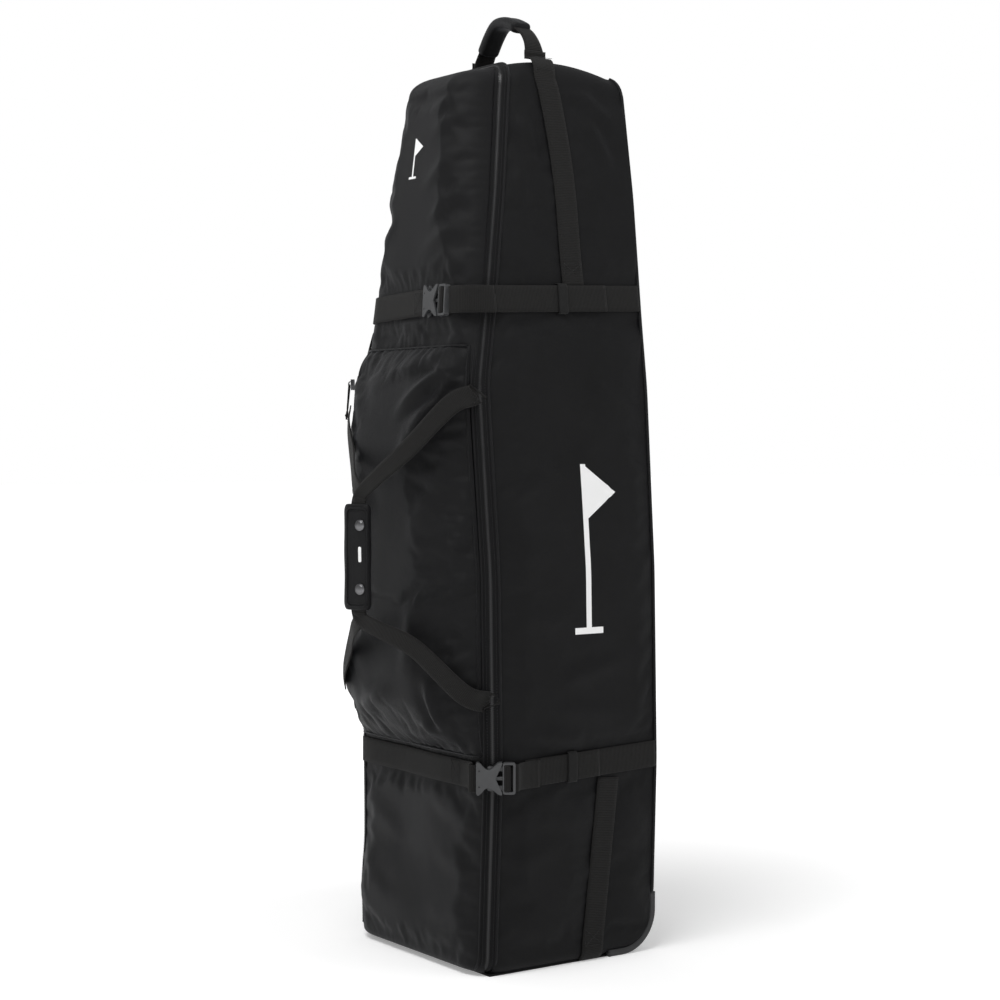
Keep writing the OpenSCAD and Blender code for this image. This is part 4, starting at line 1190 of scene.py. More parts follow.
def lathe(name, rings, centre, axis, sides=36):
    """Turned piece: (radius, height) pairs carried round an axis."""
    axis = unit(axis)
    side = unit(np.cross(axis, (0, 0, 1) if abs(axis[2]) < 0.9 else (1, 0, 0)))
    up = np.cross(axis, side)
    points = [np.asarray(centre) + (side * math.cos(t) + up * math.sin(t)) * r + axis * h
              for r, h in rings for t in np.arange(sides) * 2 * math.pi / sides]
    faces = []
    for i in range(len(rings) - 1):
        for k in range(sides):
            m = (k + 1) % sides
            faces.append((i * sides + k, i * sides + m, (i + 1) * sides + m, (i + 1) * sides + k))
    last = (len(rings) - 1) * sides
    faces += [tuple(range(sides)), tuple(range(last, last + sides))]
    return outward(new_object(name, points, faces))


def sewn_box(name, centre, along, out, wide, tall):
    """Square of stitches with a cross in it."""
    centre, along, out = np.asarray(centre, float), unit(along), unit(out)
    across = np.cross(along, out)
    corner = [centre + along * a * tall / 2 + across * b * wide / 2 for a, b in ((-1, -1), (1, -1), (1, 1), (-1, 1))]
    lines = [(0, 1), (1, 2), (2, 3), (3, 0), (0, 2), (1, 3)]
    return join(name, [stitches(name, np.linspace(corner[i], corner[j], 12), np.tile(out, (12, 1)), 0.0032, 0.0022)
                       for i, j in lines])


def tapered(name, points, normals, widths, thick=WEBBING_T):
    """Webbing whose width changes along its run."""
    rows = np.hstack([np.asarray(points, float), np.asarray(normals, float), np.asarray(widths, float)[:, None]])
    rows = curve_points(rows)
    section = np.array(strap_section(1.0, thick))
    piece = sweep(name, rows[:, :3], rows[:, 3:6], section)
    mesh, shape = piece.data, (len(rows), len(section), 3)
    tangent = unit(np.gradient(rows[:, :3], axis=0))
    out = unit(rows[:, 3:6] - tangent * np.sum(rows[:, 3:6] * tangent, axis=1, keepdims=True))
    across = np.cross(tangent, out)
    points = np.array([v.co for v in mesh.vertices]).reshape(shape)
    points += across[:, None] * (section[None, :, :1] * (rows[:, 6][:, None, None] - 1))
    mesh.vertices.foreach_set("co", points.ravel())
    weave = np.zeros(points.size, np.float32)
    mesh.attributes["weave"].data.foreach_get("vector", weave)
    weave = weave.reshape(shape)
    weave[..., 0] *= rows[:, 6][:, None]
    mesh.attributes["weave"].data.foreach_set("vector", weave.ravel())
    mesh.update()
    return piece


def axes(origin, x_axis, y_axis, level_axis):
    """Place function from millimetres in a part's own axes to metres in the frame."""
    origin, x_axis, y_axis, level_axis = (np.asarray(v, float) for v in (origin, x_axis, y_axis, level_axis))
    return lambda x, y, level: origin + (x_axis * x + y_axis * y + level_axis * level) / 1000

# ---------------------------------------------------------------- webbing on the case


def lid_normal(x, z):
    across = (lid_front_at(x + 0.001, z) - lid_front_at(x - 0.001, z)) / 0.002
    up = (lid_front_at(x, z + 0.01) - lid_front_at(x, z - 0.01)) / 0.02
    return unit(np.array([float(across), -1, float(up)]))


def on_lid(x, z, lift):
    normal = lid_normal(x, z)
    return np.array([x, float(lid_front_at(x, z)), z]) + normal * lift, normal


def make_side_webbing():
    """Webbing from the handle's feet over the top edge and down to the upper strap, and from the lower strap down."""
    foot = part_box("handle_webbing")[1].x + 0.0012
    high = HEIGHT + DOME_RISE
    uppers, lowers = [], []
    for sign in (1, -1):
        points = [(foot, 0.015, high + 0.014), (foot, 0.015, high + 0.005), (foot + 0.004, 0.015, high + 0.0012),
                  (0.078, 0.015, high + 0.0004), (0.0858, 0.0135, high - 0.0052), (0.0925, 0.012, high - 0.0150),
                  (0.0962, 0.011, high - 0.030)]
        normals = [(1, 0, 0), (1, 0, 0.2), (0.6, 0, 1), (0.25, 0, 1), (0.8, 0, 1), (1, 0, 0.55), (1, 0, 0.25)]
        for z in (1.235, 1.20, 1.16, 1.12, 1.08, 1.04, 1.0, UPPER_Z + WEBBING / 2 + 0.004):
            point, normal = on_side(side_webbing_y(z), z, 0.0012)
            points.append(point)
            normals.append(normal)
        uppers.append(strap("upper", np.array(points) * (sign, 1, 1), np.array(normals) * (sign, 1, 1)))
        for centre, along, out in (((0.0795, 0.0146, high + 0.0018), (1, 0, -0.1), (0.3, 0, 1)),
                                   ((0.0962, 0.0118, high - 0.0255), (0.12, 0, -1), (1, 0, 0.3))):
            flip = np.array((sign, 1, 1))
            uppers.append(sewn_box("patch", centre * flip, along * flip, out * flip, 0.030, 0.018))
        point, normal = on_side(side_webbing_y(0.985), 0.985, 0.0032)
        uppers.append(sewn_box("patch", point * (sign, 1, 1), (0, 0, 1), normal * (sign, 1, 1), 0.030, 0.022))
        points, normals = [], []
        for z in (LOWER_Z - WEBBING / 2 + 0.002, 0.22, 0.18, 0.14, 0.10, 0.06, 0.03, 0.017):
            point, normal = on_side(side_webbing_y(z), z, 0.0012)
            points.append(point)
            normals.append(normal)
        low = points[-1]
        points += [low + (-0.0022, 0, -0.008), low + (-0.0075, 0, -0.0145)]
        normals += [unit((1, 0, -0.45)), unit((0.7, 0, -1))]
        lowers.append(strap("lower", np.array(points) * (sign, 1, 1), np.array(normals) * (sign, 1, 1)))
        point, normal = on_side(side_webbing_y(0.035), 0.035, 0.0031)
        lowers.append(sewn_box("patch", point * (sign, 1, 1), (0, 0, 1), normal * (sign, 1, 1), 0.030, 0.024))
    for name, parts in (("upper", uppers), ("lower", lowers)):
        for part in parts:
            if not part.data.materials:
                part.data.materials.append(strap_cloth)
        finish(join(name + "_side_bands", parts), "case", "webbing", [], name + "_side_webbing")


def make_front_straps():
    """Webbing sewn across the lid, from each buckle to the left seam."""
    for which, z, start, drop in (("upper", UPPER_Z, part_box("upper_buckle_socket")[0].x, STRAP_CLIMB),
                                  ("lower", LOWER_Z, 0.125, 0.0)):
        edge = float(half_w(z)) - TUCK_IN - 0.003
        points, normals = [], []
        if which == "upper":
            for ahead, lift in ((0.005, 0.0075), (0.001, 0.0062), (-0.006, 0.0030)):
                point, normal = on_lid(start + ahead, z, lift)
                points.append(point)
                normals.append(normal)
        else:
            socket = middle("lower_buckle_socket")
            along, out = release_axes("lower")
            mouth = np.array(socket) - along * 0.018
            points = [mouth + along * 0.004, mouth - along * 0.002, mouth - along * 0.009 - out * 0.0012]
            normals = [out, out, unit(out + (-0.2, -0.4, 0))]
            points += [(0.1475, float(front_y(z)) - 0.0075, z), (0.136, float(front_y(z)) - 0.0035, z)]
            normals += [unit((0.3, -1, 0)), unit((0.2, -1, 0))]
        for x in np.linspace(start - 0.012, -edge, 24):
            point, normal = on_lid(x, z - drop * (start - x), 0.0016)
            points.append(point)
            normals.append(normal)
        piece = strap(which + "_front_band", points, normals)
        piece.data.materials.append(strap_cloth)
        at = start - 0.026
        point, normal = on_lid(at, z - drop * (start - at), 0.0036)
        patch = sewn_box("patch", point, (1, 0, drop), normal, 0.031, 0.020)
        finish(join(which + "_front_band", [piece, patch]), "lid", "webbing", [], which + "_strap_front")


def make_strap_overs():
    """Webbing that crosses the zip to each plug. The real strap goes limp against the side wall once the lid opens;
    here it keeps this shape on the case.
    """
    w, face = float(half_w(UPPER_Z)), float(front_y(UPPER_Z)) - 0.0035
    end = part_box("upper_buckle_plug")[1].x
    points = [(w + 0.0036, -0.108, UPPER_Z), (w + 0.0034, -0.117, UPPER_Z), (w + 0.0005, -0.130, UPPER_Z),
              (w - 0.007, -0.1415, UPPER_Z), (w - 0.019, -0.1495, UPPER_Z), (w - 0.032, face + 0.0008, UPPER_Z),
              (end - 0.002, face + 0.0004, UPPER_Z)]
    normals = [(1, 0, 0.14), (1, -0.1, 0.1), (1, -0.35, 0.05), (1, -0.8, 0), (0.5, -1, 0), (0.1, -1, 0), (0, -1, 0)]
    piece = strap("upper_over_band", points, normals)
    finish(piece, "case", "webbing", strap_cloth, "upper_strap_over")
    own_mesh(piece)
    w = float(half_w(LOWER_Z))
    along, out = release_axes("lower")
    last = np.array(middle("lower_buckle_plug")) + along * 0.0165 - out * 0.0035
    points = [(w + 0.0036, -0.060, LOWER_Z), (w + 0.0040, -0.072, LOWER_Z), (w + 0.0062, -0.086, LOWER_Z),
              (w + 0.0096, -0.097, LOWER_Z), last - along * -0.004, last - along * 0.004]
    normals = [(1, 0, 0), (1, -0.1, 0), (1, -0.25, 0), (1, -0.4, 0), out, out]
    piece = strap("lower_over_band", points, normals)
    finish(piece, "case", "webbing", strap_cloth, "lower_strap_over")
    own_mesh(piece)

# ---------------------------------------------------------------- buckles


def release_axes(which):
    """Direction in which a plug slides out of its socket, and the buckle's outward direction."""
    along = unit(joints[which + "_buckle_release"]["axis"])
    if which == "lower":
        return along, unit(np.cross(along, (0, 0, 1)))
    return along, lid_normal(0, UPPER_Z)


def make_buckle(which):
    along, out = release_axes(which)
    up = np.cross(out, along)
    place = axes(np.array(middle(which + "_buckle_socket")) + along * 0.007 - out * 0.0055, along, up, out)
    wing = [(-25, 18.5), (-24.2, 22.2), (-21.5, 23), (-17.5, 19.5), (-13, 14.2), (-8.5, 12.4), (-3.5, 13.6),
            (2, 18.6), (6.5, 22.2), (11, 22.8), (11, 19.6), (2.2, 1.0)]
    face = rounded(mirrored(wing), 1.6)
    dots = [[(-20.8 + 1.1 * math.cos(t), y + 1.1 * math.sin(t)) for t in np.arange(10) * math.pi / 5]
            for y in (-11, 11)]
    parts = [plate("shell", face, dots, 8.4, 11, place, 0.0007), plate("shell", face, [], 0, 2.4, place, 0.0007)]
    end = rounded([(-25, -18.5), (-15.5, -12.5), (-15.5, 12.5), (-25, 18.5)], 1.2)
    parts.append(plate("shell", end, [], 2.2, 8.6, place, 0.0003))
    for side in (-1, 1):
        rail = rounded([(4, side * 19.8), (10.8, side * 19.8), (10.8, side * 22.6), (4, side * 21.5)], 0.6)
        parts.append(plate("shell", rail, [], 2.2, 8.6, place, 0.0003))
    finish(join(which + "_buckle_shell", parts), "lid", "buckle_plastic", buckle_plastic, which + "_buckle_socket")
    body = rounded([(11.8, -22), (29.6, -22), (29.6, 22), (11.8, 22)], 3.5)
    window = rounded([(13.8, -18.6), (26.2, -18.6), (26.2, 18.6), (13.8, 18.6)], 1.4)
    parts = [plate("frame", body, [window], 1.2, 9.8, place, 0.0011),
             plate("bar", rounded([(15, -19), (20, -19), (20, 19), (15, 19)], 1.0), [], 3.6, 7.0, place, 0.0008)]
    for side in (-1, 1):
        prong = [(13, side * 9.8), (0, side * 10.8), (-8, side * 12.4), (-9.4, side * 15.4), (-7, side * 17.2),
                 (-2, side * 16.4), (2, side * 15.6), (13, side * 16.6)]
        parts.append(plate("prong", rounded(prong, 1.2), [], 3.3, 7.5, place, 0.0007))
    tongue = rounded([(13, -2.6), (-7.5, -2.0), (-7.5, 2.0), (13, 2.6)], 1.0)
    parts.append(plate("tongue", tongue, [], 3.6, 7.2, place, 0.0006))
    finish(join(which + "_buckle_clip", parts), which + "_plug", "buckle_plastic", buckle_plastic,
           which + "_buckle_plug")
    wrap = [(28, -0.6), (25, 0.0), (22.6, 2.6), (21.6, 7.2), (19.2, 9.1), (15.8, 9.1), (13.9, 7.0), (13.9, 3.4),
            (15.8, 1.2), (21, -0.5)]
    path = [place(x, 0, level) for x, level in wrap]
    normal = [out, out, along, along, out, out, -along, -along, -out, -out]
    band = strap(which + "_clip_webbing", path, normal, 0.0366, 0.0014, 0.002)
    finish(band, which + "_plug", "webbing", strap_cloth)

# ---------------------------------------------------------------- duffel grip

GRIP = (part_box("grip_wrap")[0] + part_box("grip_wrap")[1]) / 2
GRIP_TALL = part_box("grip_wrap")[1].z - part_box("grip_wrap")[0].z
GRIP_TURN = math.radians(25)


def grip_axes():
    c, s = math.cos(GRIP_TURN), math.sin(GRIP_TURN)
    return np.array([c, s, 0]), np.array([s, -c, 0])


def make_grip_wrap():
    """Padded wrap round both loops, with a corded edge and two snaps."""
    right, out = grip_axes()
    half_wide, half_deep, half_tall = 0.0215, 0.0085, GRIP_TALL / 2
    rows = np.concatenate([-np.cos(np.linspace(0, 1, 9) * math.pi / 2)[:-1] * 0.012 - half_tall + 0.012,
                           np.linspace(-half_tall + 0.012, half_tall - 0.012, 44),
                           np.sin(np.linspace(0, 1, 9) * math.pi / 2)[1:] * 0.012 + half_tall - 0.012])
    turns = np.linspace(0, 2 * math.pi, 49)[:-1]
    grid, weave = [], []
    for z in rows:
        over = max(0.0, (abs(z) - half_tall + 0.012) / 0.012)
        close = math.sqrt(max(0.0, 1 - min(1.0, over) ** 2)) * 0.45 + 0.55 if over < 1 else 0.3
        deep = half_deep * (1 + 0.06 * math.sin(z * 55)) * (0.35 + 0.65 * close)
        wide = half_wide * (1 + 0.015 * math.sin(z * 90 + 1))
        ring = []
        for t in turns:
            x = wide * math.copysign(abs(math.cos(t)) ** 0.62, math.cos(t)) * (close ** 0.5)
            y = deep * math.copysign(abs(math.sin(t)) ** 0.85, math.sin(t))
            ring.append(np.array(GRIP) + right * x + out * y + (0, 0, z))
            weave.append((x - 0.009, z, y))
        grid.append(ring)
    count, size = len(rows), len(turns)
    faces = grid_faces(count, size, wrap=True)
    faces += [tuple(reversed(range(size))), tuple(range((count - 1) * size, count * size))]
    piece = outward(new_object("grip_pad", np.array(grid).reshape(-1, 3), faces, weave))
    subdivide(piece)
    apply_modifiers(piece)
    finish(piece, "carry_grip", "grip_fabric", grip_cloth, "grip_wrap")
    edge = rounded([(-13, -69), (20, -69), (20, 69), (-13, 69)], 9, 8)
    edge = np.array(edge + edge[:1])
    path = []
    for x, z in edge / 1000:
        bulge = 0.0086 * (1 - min(1, abs(x) / 0.0225) ** 4) ** 0.5
        path.append(np.array(GRIP) + right * x + out * (bulge + 0.0003) + (0, 0, z))
    path = resample(np.array(path), np.tile(out, (len(path), 1)), 0.003)[0]
    bead = sweep("grip_edge_cord", path, np.tile(out, (len(path), 1)), round_section(0.0012))
    finish(bead, "carry_grip", "grip_fabric", piping_cloth)
    inner = np.array(GRIP) + (path - np.array(GRIP)) * (0.84, 0.84, 0.955) + out * 0.0012
    row = stitches("grip_stitching", inner, np.tile(out, (len(path), 1)), 0.0036, 0.0025)
    finish(row, "carry_grip", "grip_fabric", [])
    studs = []
    for z in (-0.045, 0.045):
        centre = np.array(GRIP) + right * 0.009 + out * 0.0082 + (0, 0, z)
        rings = [(0.0078, 0), (0.0078, 0.0009), (0.0072, 0.0014), (0.0064, 0.0012), (0.0060, 0.0019),
                 (0.0045, 0.0026), (0.0022, 0.0029), (0.0003, 0.0030)]
        studs.append(lathe("stud", rings, centre, out))
    finish(join("grip_studs", studs), "carry_grip", "snap_metal", snap_metal, "grip_snaps")


def on_pocket(x, z, lift):
    """Point in front of the creased pocket."""
    points = pocket_points[0]
    near_by = points[(abs(points[:, 0] - x) < 0.008) & (abs(points[:, 2] - z) < 0.008)]
    return np.array([x, near_by[:, 1].min() - lift, z])


def make_grip_loops():
    """Webbing loops from the lid's right seam and the pocket's left front to the grip."""
    right, out = grip_axes()
    for sign, who in ((1, "right"), (-1, "left")):
        parts = []
        for top in (True, False):
            step = 1 if top else -1
            if sign > 0:
                z = 0.815 if top else 0.375
                points = []
                for angle, back in ((0.47, 0.002), (0.66, 0.008)):
                    x, y = lid_surface(1, angle, z - back * step, 0)
                    turn = np.array([math.cos(angle), -math.sin(angle), 0])
                    points.append(np.array([x, y, z - back * step]) + turn * 0.0016)
                points.append(np.array([float(half_w(z)) - 0.014, -0.182 if top else -0.176, z - 0.023 * step]))
                points.append(np.array([0.092, -0.218, 0.733] if top else [0.100, -0.214, 0.457]))
                normals = [np.array([math.cos(a), -math.sin(a), 0]) for a in (0.47, 0.66)]
                normals += [np.array((0.5, -1, 0)), np.array((0.3, -1, 0)), np.array((0.25, -1, 0))]
                widths = [0.030, 0.030, 0.030, 0.028, 0.024, 0.021, 0.020]
            else:
                heights = (0.790, 0.765, 0.722) if top else (0.385, 0.408, 0.446)
                points = [on_pocket(x, z, lift) for x, z, lift in zip(
                    (-0.112, -0.104, -0.074), heights, (0.0012, 0.0022, 0.0040))]
                normals = [np.array((-0.5, -1, 0))] * 2 + [np.array((-0.3, -1, 0)), np.array((-0.25, -1, 0))]
                widths = [0.030, 0.030, 0.028, 0.024, 0.021, 0.020]
            grip_end = (0, 0, (GRIP_TALL / 2 + 0.010) * step)
            wrap_end = np.array(GRIP) + right * 0.004 + grip_end
            before = points[-1] * 0.42 + wrap_end * 0.58 + (0, -0.004, 0)
            if abs(before[0]) > 0.02:
                before[1] = min(before[1], on_pocket(before[0], before[2], 0.005)[1])
            points += [before, wrap_end, np.array(GRIP) + (0, 0, (GRIP_TALL / 2 - 0.020) * step)]
            parts.append(tapered("run", points, normals + [out, out], widths))
            parts[-1].data.materials.append(strap_cloth)
            at = points[0] * 0.55 + points[1] * 0.45 if sign < 0 else points[1] * 0.9 + points[2] * 0.1
            face = unit(normals[0] if sign < 0 else normals[1])
            parts.append(sewn_box("patch", at + face * 0.0022, unit(points[1] - points[0]), face, 0.020, 0.010))
        piece = finish(join(who + "_grip_loop", parts), None, "webbing", [], "grip_webbing_" + who)
        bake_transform(piece)


# ---------------------------------------------------------------- top handle

HANDLE_Y = middle("handle_webbing").y


def handle_path(first, last):
    """The handle's line, which leans so that its left shoulder stands higher."""
    foot = HEIGHT + DOME_RISE
    points = [(-0.0640, foot + 0.002), (-0.0620, foot + 0.012), (-0.0500, foot + 0.030), (-0.0350, foot + 0.049),
              (-0.0190, foot + 0.0620), (0.0020, foot + 0.0630), (0.0200, foot + 0.0570), (0.0350, foot + 0.0495),
              (0.0490, foot + 0.0390), (0.0590, foot + 0.0250), (0.0634, foot + 0.0110), (0.0634, foot + 0.002)]
    return [np.array((x, HANDLE_Y, z)) for x, z in points[first:last]]


def handle_out(points):
    centre = np.array((0, HANDLE_Y, HEIGHT + 0.005))
    return [unit((p - centre) * (1, 0, 1)) for p in points]


def make_handle():
    points = handle_path(0, 12)
    normals = handle_out(points)
    normals[0] = normals[1] = np.array((-1.0, 0, 0))
    normals[-1] = normals[-2] = np.array((1.0, 0, 0))
    widths = [0.034, 0.032, 0.030, 0.029, 0.029, 0.029, 0.029, 0.028, 0.026, 0.028, 0.032, 0.034]
    piece = tapered("handle_band", points, normals, widths, 0.0025)
    finish(piece, None, "webbing", strap_cloth, "handle_webbing")
    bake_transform(piece)
    line = curve_points(np.hstack([handle_path(1, 8), handle_out(handle_path(1, 8))]), 0.003)[5:]
    half, thick = 0.0165, 0.0092
    section = []
    for t in np.linspace(0, 2 * math.pi, 41)[:-1]:
        x = half * math.copysign(abs(math.cos(t)) ** 0.6, math.cos(t))
        y = thick * math.copysign(abs(math.sin(t)) ** 0.9, math.sin(t))
        y += 0.0007 * math.sin(3 * t) - 0.0021 * math.exp(-((x - 0.002) / 0.0016) ** 2) * (y > 0)
        section.append((x, y + 0.0012))
    piece = sweep("handle_pad", line[:, :3], line[:, 3:], section[::-1])
    co = np.array([v.co for v in piece.data.vertices]).reshape(len(line), len(section), 3)
    for r in range(len(line)):
        ends = min(r, len(line) - 1 - r) * 0.003
        squeeze = 0.80 + 0.20 * math.sqrt(1 - (1 - min(1, ends / 0.006)) ** 2)
        centre = line[r, :3]
        co[r] = centre + (co[r] - centre) * squeeze
    piece.data.vertices.foreach_set("co", co.reshape(-1, 3).ravel())
    outward(piece)
    subdivide(piece)
    apply_modifiers(piece)
    finish(piece, "top_handle", "grip_fabric", pad_cloth, "handle_wrap")
    rows = []
    for side in (-0.0042, 0.0078):
        path = line[4:-4, :3] + line[4:-4, 3:] * 0.0068 + np.array((0, 1, 0)) * side
        rows.append(stitches("row", path, line[4:-4, 3:], 0.0036, 0.0025))
    finish(join("handle_stitching", rows), "top_handle", "grip_fabric", [])

# ---------------------------------------------------------------- zip sliders


def slider(name, body, place, node):
    """Zip slider: two shield plates with a wedge between them and a bridge for the puller."""
    shield = rounded([(-4.8, 8), (4.8, 8), (5, 1.5), (3, -8), (-3, -8), (-5, 1.5)], 1.6)
    wedge = rounded([(-1.4, 7.6), (1.4, 7.6), (0.8, -1), (-0.8, -1)], 0.6)
    parts = [plate("top", shield, [], 2.6, 4.0, place, 0.0004), plate("low", shield, [], 0.0, 1.1, place, 0.0003),
             plate("wedge", wedge, [], 1.0, 2.8, place, 0.0002)]
    arch = [(-4.6, 3.6), (-4.6, 5.6), (-3.2, 7.6), (0, 8.1), (3.2, 7.6), (4.6, 5.6), (4.6, 3.6)]
    path = curve_points([place(0, y, level) for y, level in arch], 0.0008)
    middle_line = place(0, 0, 3.0)
    parts.append(sweep("bridge", path, path - middle_line, [(-0.0018, -0.0005), (0.0018, -0.0005), (0.0019, 0.0002),
                                                          (0.0014, 0.0006), (-0.0014, 0.0006), (-0.0019, 0.0002)]))
    finish(join(name, parts), body, "slider_metal", dark_metal, node)


def make_main_slider():
    side = unit(joints["main_puller_swing"]["axis"])
    along = unit(joints["main_zip_travel"]["axis"])
    out = unit(np.cross(along, side))
    origin = np.array(middle("main_zip_slider")) - out * 0.00425
    place = axes(origin, side, along, out)
    slider("main_slider_shell", "main_slider", place, "main_zip_slider")
    lean = math.radians(5)
    down = along * math.cos(lean) - out * math.sin(lean)
    away = out * math.cos(lean) + along * math.sin(lean)
    hang = axes(np.array(joints["main_puller_swing"]["pos_m"]), side, down, away)
    outline = rounded([(-2.6, 1.1), (-3.9, 0.6), (-4, -30), (-2.6, -32), (2.6, -32), (4, -30), (3.9, 0.6),
                       (2.6, 1.1)], 0.8)
    slot = rounded([(-2.4, -0.6), (2.4, -0.6), (2.4, -7.2), (-2.4, -7.2)], 0.7)
    tail = rounded([(-2.4, -25), (2.4, -25), (2.4, -29.5), (-2.4, -29.5)], 0.6)
    parts = [plate("tab", outline, [slot, tail], -0.8, 0.8, hang, 0.0004)]
    parts[0].data.materials.append(dark_metal)
    path = [hang(0, y, level) for y, level in ((-69, -0.9), (-50, -1.6), (-31, -1.7), (-28.2, -0.9), (-27.4, 0),
                                               (-28.2, 0.9), (-31, 1.7), (-50, 1.6), (-69, 0.9))]
    normals = [-away, -away, -away, down - away, down, down + away, away, away, away]
    parts.append(strap("loop", path, normals, 0.0062, 0.0011, 0.001))
    parts[1].data.materials.append(strap_cloth)
    finish(join("main_puller_tab", parts), "main_puller", "slider_metal", [], "main_zip_puller")


def make_pocket_slider():
    turn = math.radians(135)
    side = np.array((math.cos(turn), math.sin(turn), 0))
    out = np.array((-math.sin(turn), math.cos(turn), 0))
    up = np.array((0, 0, 1.0))
    origin = np.array(middle("pocket_zip_slider")) - out * 0.00425
    slider("pocket_slider_shell", "pocket_slider", axes(origin, side, up, out), "pocket_zip_slider")
    lean = math.radians(5)
    down = up * math.cos(lean) - out * math.sin(lean)
    away = out * math.cos(lean) + up * math.sin(lean)
    hang = axes(np.array(joints["pocket_puller_swing"]["pos_m"]), side, down, away)
    loop = [(0, 1.3, 0), (2.4, 0.2, 0), (2.9, -6, 0), (2.6, -20, 0.2), (1.5, -34, 0.1), (0.9, -40, 0.9),
            (1.0, -44, 0.8)]
    back = [(-x, y, -level) for x, y, level in loop[1:]]
    line = curve_points([hang(*p) for p in back[::-1] + loop], 0.0012)
    parts = [sweep("loop", line, np.tile(away, (len(line), 1)), round_section(0.00115, 8))]
    knot = []
    for t in np.linspace(0, 2 * math.pi, 49):
        knot.append(hang(1.15 * (math.sin(t) + 2 * math.sin(2 * t)), -44 - 1.25 * (math.cos(t) - 2 * math.cos(2 * t)),
                         -1.3 * math.sin(3 * t)))
    knot = np.array(knot)
    parts.append(sweep("knot", knot, np.tile(away, (len(knot), 1)), round_section(0.0011, 8)))
    for x in (-1.0, 1.2):
        tail = curve_points([hang(x * 0.6, -45, 0), hang(x, -47.5, 0.3), hang(x * 1.6, -50, 0)], 0.001)
        parts.append(sweep("tail", tail, np.tile(away, (len(tail), 1)), round_section(0.00115, 8)))
    for part in parts:
        outward(part)
    finish(join("pocket_puller_loop", parts), "pocket_puller", "puller_cord", strap_cloth, "pocket_zip_puller")


def make_pocket_zip():
    """Tape and teeth down the pocket's left gusset."""
    v = np.linspace(-0.86, 0.86, 120)
    out = unit((-1, -1, 0))
    path = pocket_surface(np.full_like(v, -0.93), v) + out * 0.0004
    normals = np.tile(out, (len(path), 1))
    tape = sweep("tape", path, normals, strap_section(0.015, 0.0009))
    tape.data.materials.append(tape_cloth)
    parts = [tape]
    for side in (-1, 1):
        teeth = zip_teeth("teeth", path + out * 0.0004, normals, side)
        teeth.data.materials.append(coil_plastic)
        parts.append(teeth)
        edge = path + np.cross(unit(np.gradient(path, axis=0)), normals) * side * 0.0052 + out * 0.0009
        parts.append(stitches("row", edge, normals))
    finish(join("pocket_zip_band", parts), "lid", "zip_tape", [], "pocket_zip")

# ---------------------------------------------------------------- base mouldings


def make_guards():
    """Moulded bumper round each lower rear corner, with soft edges and a raised rib along it."""
    low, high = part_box("right_corner_guard")
    middle_x, half, deep = (low.x + high.x) / 2, (high.x - low.x) / 2, GUARD_T / 2
    bend_y, bend_z, mid_r = BACK_Y - GUARD_BEND, GUARD_BEND + 0.0002, GUARD_BEND - deep
    line = [(y, low.z + deep, -math.pi / 2) for y in np.linspace(low.y, bend_y, 8)[:-1]]
    line += [(bend_y + mid_r * math.cos(a), bend_z + mid_r * math.sin(a), a)
             for a in np.linspace(-math.pi / 2, 0, 26)]
    line += [(BACK_Y - deep, z, 0.0) for z in np.linspace(bend_z, high.z, 9)[1:]]
    section = rounded([(-half, -deep), (half, -deep), (half, deep), (-half, deep)], 0.0022, 5)
    for sign, who in ((1, "right"), (-1, "left")):
        path = np.array([(sign * middle_x, y, z) for y, z, _ in line])
        normals = np.array([(0, math.cos(a), math.sin(a)) for _, _, a in line])
        parts = [outward(sweep("band", path, normals, section))]
        for x in (-half / 2, 0, half / 2):
            inner = path[3:-3] + np.array((x, 0, 0)) - normals[3:-3] * (deep - 0.0002)
            parts.append(outward(sweep("groove", inner, -normals[3:-3], round_section(0.0009, 6))))
        finish(join(who + "_guard", parts), "case", "moulded_plastic", guard_plastic, who + "_corner_guard")


def make_housings():
    """Wheel housings, with the lower rear corner of their walls trimmed round as the guards are."""
    for who in ("right", "left"):
        made = bmesh.new()
        made.from_mesh(nodes[who + "_wheel_housing"].data)
        for turn in np.radians((15, 30, 45, 60, 75)):
            outward_of = Vector((0, math.sin(turn), -math.cos(turn)))
            on_plane = Vector((0, BACK_Y - GUARD_BEND, GUARD_BEND)) + outward_of * (GUARD_BEND - 0.001)
            cut = bmesh.ops.bisect_plane(made, geom=made.verts[:] + made.edges[:] + made.faces[:], plane_co=on_plane,
                                         plane_no=outward_of, clear_outer=True)
            edges = [e for e in cut["geom_cut"] if isinstance(e, bmesh.types.BMEdge)]
            bmesh.ops.holes_fill(made, edges=edges)
        mesh = bpy.data.meshes.new(who + "_wheel_well")
        made.to_mesh(mesh)
        made.free()
        mesh.materials.clear()
        piece = bpy.data.objects.new(who + "_wheel_well", mesh)
        bpy.context.scene.collection.objects.link(piece)
        bevel(piece, 0.0005, 1)
        finish(piece, "case", "moulded_plastic", guard_plastic, who + "_wheel_housing")


